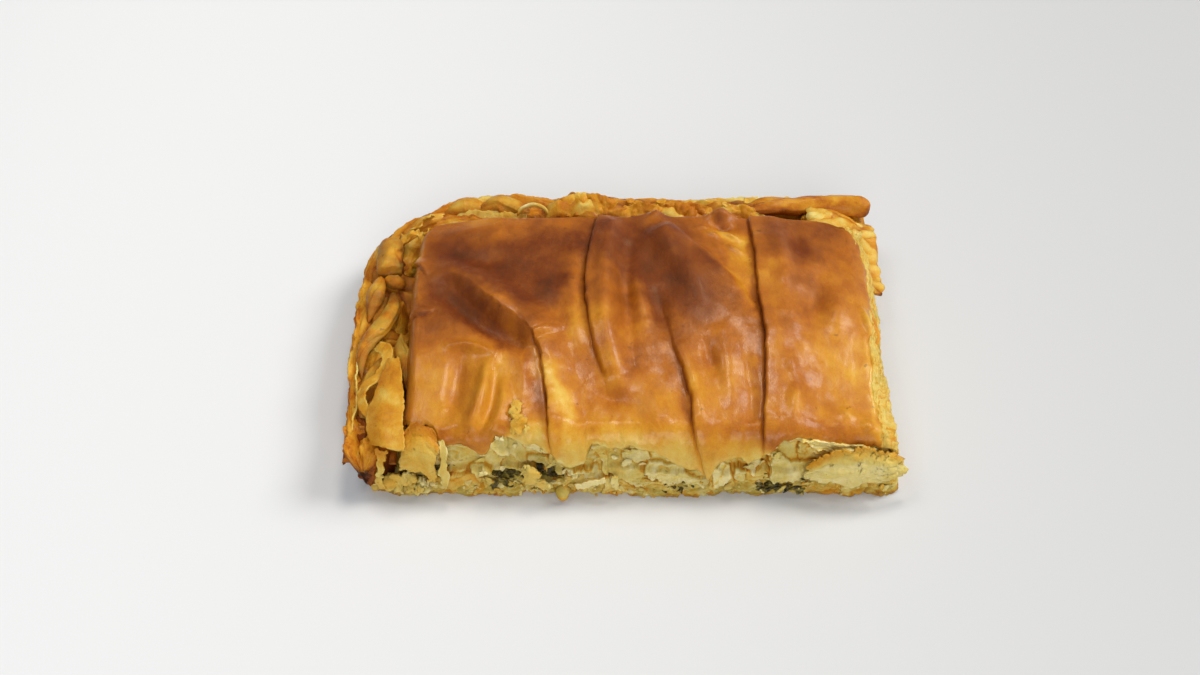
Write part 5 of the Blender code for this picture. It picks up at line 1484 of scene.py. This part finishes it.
def scatter_tree(name, kind, finish):
    """Small sheets or crumbs of random size and turn, each bent a little by noise."""
    floats = ("Density", "Smallest", "Largest", "Least bake", "Most bake", "Unevenness")
    growth = Growth(name, {**dict.fromkeys(floats, "NodeSocketFloat"), "Proportions": "NodeSocketVector",
                           "Turn": "NodeSocketVector", "Seed": "NodeSocketInt"})
    points = growth.add("GeometryNodeDistributePointsOnFaces", {"distribute_method": "RANDOM"}, {
        "Mesh": growth.given("Geometry"), "Density": growth.given("Density"), "Seed": growth.given("Seed")})
    upright = Value(growth, points.socket.node.outputs["Rotation"])
    if kind == "sheet":
        small = growth.add("GeometryNodeMeshCylinder", {"fill_type": "TRIANGLE_FAN"}, {
            "Vertices": 9, "Fill Segments": 3, "Radius": 0.5, "Depth": 1.0})
    else:
        small = growth.add("GeometryNodeMeshIcoSphere", None, {"Radius": 0.5, "Subdivisions": 2})
    small = growth.add("GeometryNodeTransform", None, {0: small, "Scale": growth.given("Proportions")})
    low = growth.scaled(growth.given("Turn"), -1.0)
    spin = growth.add("FunctionNodeRandomValue", {"data_type": "FLOAT_VECTOR"}, {
        0: low, 1: growth.given("Turn"), 8: growth.given("Seed")})
    spin = growth.add("FunctionNodeEulerToRotation", None, {0: spin})
    turned = growth.add("FunctionNodeRotateRotation", {"rotation_space": "LOCAL"}, {0: upright, 1: spin})
    size = growth.random(growth.given("Smallest"), growth.given("Largest"), 5)
    strewn = growth.add("GeometryNodeInstanceOnPoints", None, {
        "Points": points, "Instance": small, "Rotation": turned, "Scale": size})
    bake = growth.random(growth.given("Least bake"), growth.given("Most bake"), 9)
    strewn = growth.add("GeometryNodeStoreNamedAttribute", {"data_type": "FLOAT", "domain": "INSTANCE"}, {
        "Geometry": strewn, "Name": "bake", "Value": bake})
    real = growth.add("GeometryNodeRealizeInstances", None, {"Geometry": strewn})
    sockets = {"Scale": 1 / (NOISE_SIZE * MM), "Detail": 2.0}
    noise = growth.add("ShaderNodeTexNoise", None, sockets, out="Color")
    off = growth.add("ShaderNodeVectorMath", {"operation": "SUBTRACT"}, {0: noise, 1: (0.5, 0.5, 0.5)})
    off = growth.scaled(off, growth.given("Unevenness"))
    bent = growth.add("GeometryNodeSetPosition", None, {"Geometry": real, "Offset": off})
    done = growth.add("GeometryNodeSetMaterial", None, {"Geometry": bent, "Material": finish.material})
    end = growth.nodes.new("NodeGroupOutput")
    growth.feed(end.inputs["Geometry"], done)
    return growth


def scatter(name, growth, surfaces, node, density, sizes, bakes, unevenness, proportions, turn, seed):
    """Run the tree over the surfaces, and keep the result as one plain mesh."""
    bed = Shape()
    for surface in surfaces:
        rows, columns = surface.shape[:2]
        bed.add(surface, grid(rows, columns))
    holder = placed(name + "_bed", bed.mesh(name))
    modifier = holder.modifiers.new("scatter", "NODES")
    modifier.node_group = growth.tree
    values = {
        "Density": density * PER_MM2, "Smallest": sizes[0] * MM, "Largest": sizes[1] * MM,
        "Least bake": bakes[0], "Most bake": bakes[1], "Unevenness": unevenness * MM,
        "Proportions": proportions, "Turn": turn, "Seed": seed}
    for label, value in values.items():
        modifier[growth.names[label]] = value
    bpy.context.view_layer.update()
    graph = bpy.context.evaluated_depsgraph_get()
    result = bpy.data.meshes.new_from_object(holder.evaluated_get(graph))
    bpy.data.objects.remove(holder)
    places = np.zeros(3 * len(result.vertices))
    result.vertices.foreach_get("co", places)
    places[2::3] = np.maximum(places[2::3], CRUMBS_ABOVE_TABLE * MM)
    result.vertices.foreach_set("co", places)
    result.name = name
    kept(name, result, node)


def strip_surface(x0, x1, *y_z_lines, wander=0.0):
    """A band along x through (y, z) lines, facing forward and up."""
    x = np.linspace(x0, x1, 120)
    rows = [np.stack([x, y + wander * relief(x, 0 * x, 5, 501), 0 * x + z], -1) for y, z in y_z_lines]
    return np.array(rows)


def side_surface(y0, y1, *out_z_lines):
    """A band along the right cut through (distance out from the cut, z) lines, facing right."""
    y = np.linspace(y0, y1, 80)
    lines = [np.stack([right_cut(y) + out, y, 0 * y + z], -1) for out, z in out_z_lines]
    return np.array(lines)


pale_flakes = scatter_tree("torn_flake", "sheet", pale_filo)
golden_flakes = scatter_tree("golden_flake", "sheet", dry_filo)
pale_crumbs = scatter_tree("pale_crumb", "crumb", pale_filo)
shreds = scatter_tree("spinach_shred", "sheet", spinach)

torn_x, torn_y = np.meshgrid(np.linspace(-50, 68, 140), np.linspace(-65.4, -52, 18))
torn_bed = on_front(torn_x, torn_y, 0.7 * lid_folds(torn_x, torn_y)[0] - 1.3 + 0 * torn_x)
scatter(
    "front_cut_flakes", pale_flakes, [torn_bed], "top_crust",
    density=0.05, sizes=(1.0, 3.4), bakes=(0.0, 0.16), unevenness=2.4,
    proportions=(1.0, 0.5, 0.09), turn=(0.5, 0.5, 0.6), seed=3)
front_foot = strip_surface(-64, 69, (-51.4, 0.9), (-50.6, 3.0), (-50.2, 5.0), wander=0.6)
right_foot = side_surface(-46, 26, (-1.6, 1.0), (-1.8, 4.0))
scatter(
    "front_foot_crumbs", pale_crumbs, [front_foot, right_foot], "bottom_crust",
    density=0.12, sizes=(0.4, 1.4), bakes=(0.04, 0.34), unevenness=1.6,
    proportions=(1.2, 0.9, 0.8), turn=(3.1, 3.1, 3.1), seed=5)
foot_bed = strip_surface(-64, 70, (-50.9, 1.6), (-50.2, 3.2), (-49.8, 5.4), wander=0.6)
scatter(
    "foot_flakes", pale_flakes, [foot_bed], "bottom_crust",
    density=0.12, sizes=(1.2, 3.8), bakes=(0.04, 0.34), unevenness=2.4,
    proportions=(1.0, 0.5, 0.10), turn=(0.7, 0.7, 0.7), seed=13)
shred_beds = [
    strip_surface(-37, -17, (-48.2, 4.2), (-48.6, 8.0)),
    strip_surface(5, 20, (-48.4, 4.2), (-48.8, 6.2)),
    strip_surface(35, 48, (-48.4, 4.0), (-48.8, 6.4)),
    strip_surface(34, 47, (-50.9, 1.6), (-50.3, 4.2), wander=0.5),
    strip_surface(9, 17, (-50.8, 1.6), (-50.2, 4.4), wander=0.5),
    strip_surface(-36, -30, (-50.8, 2.4), (-50.0, 5.2), wander=0.5),
    side_surface(-30, 6, (-4.6, 4.5), (-4.4, 8.0))]
scatter(
    "spinach_shreds", shreds, shred_beds, "spinach_filling",
    density=0.6, sizes=(1.2, 3.4), bakes=(0.0, 1.0), unevenness=1.6,
    proportions=(1.0, 0.42, 0.09), turn=(0.6, 0.6, 3.1), seed=7)
rim_bed = strip_surface(-22, 41, (40.6, 18.8), (44.0, 21.0), (46.6, 22.0))
slope_bed = side_surface(16, 44, (-12.0, 17.6), (-5.0, 15.0), (-3.0, 12.6))
scatter(
    "rim_torn_flakes", golden_flakes, [rim_bed, slope_bed], "bottom_crust",
    density=0.012, sizes=(2.0, 4.6), bakes=(0.22, 0.46), unevenness=2.6,
    proportions=(1.0, 0.6, 0.09), turn=(0.3, 0.3, 3.1), seed=11)
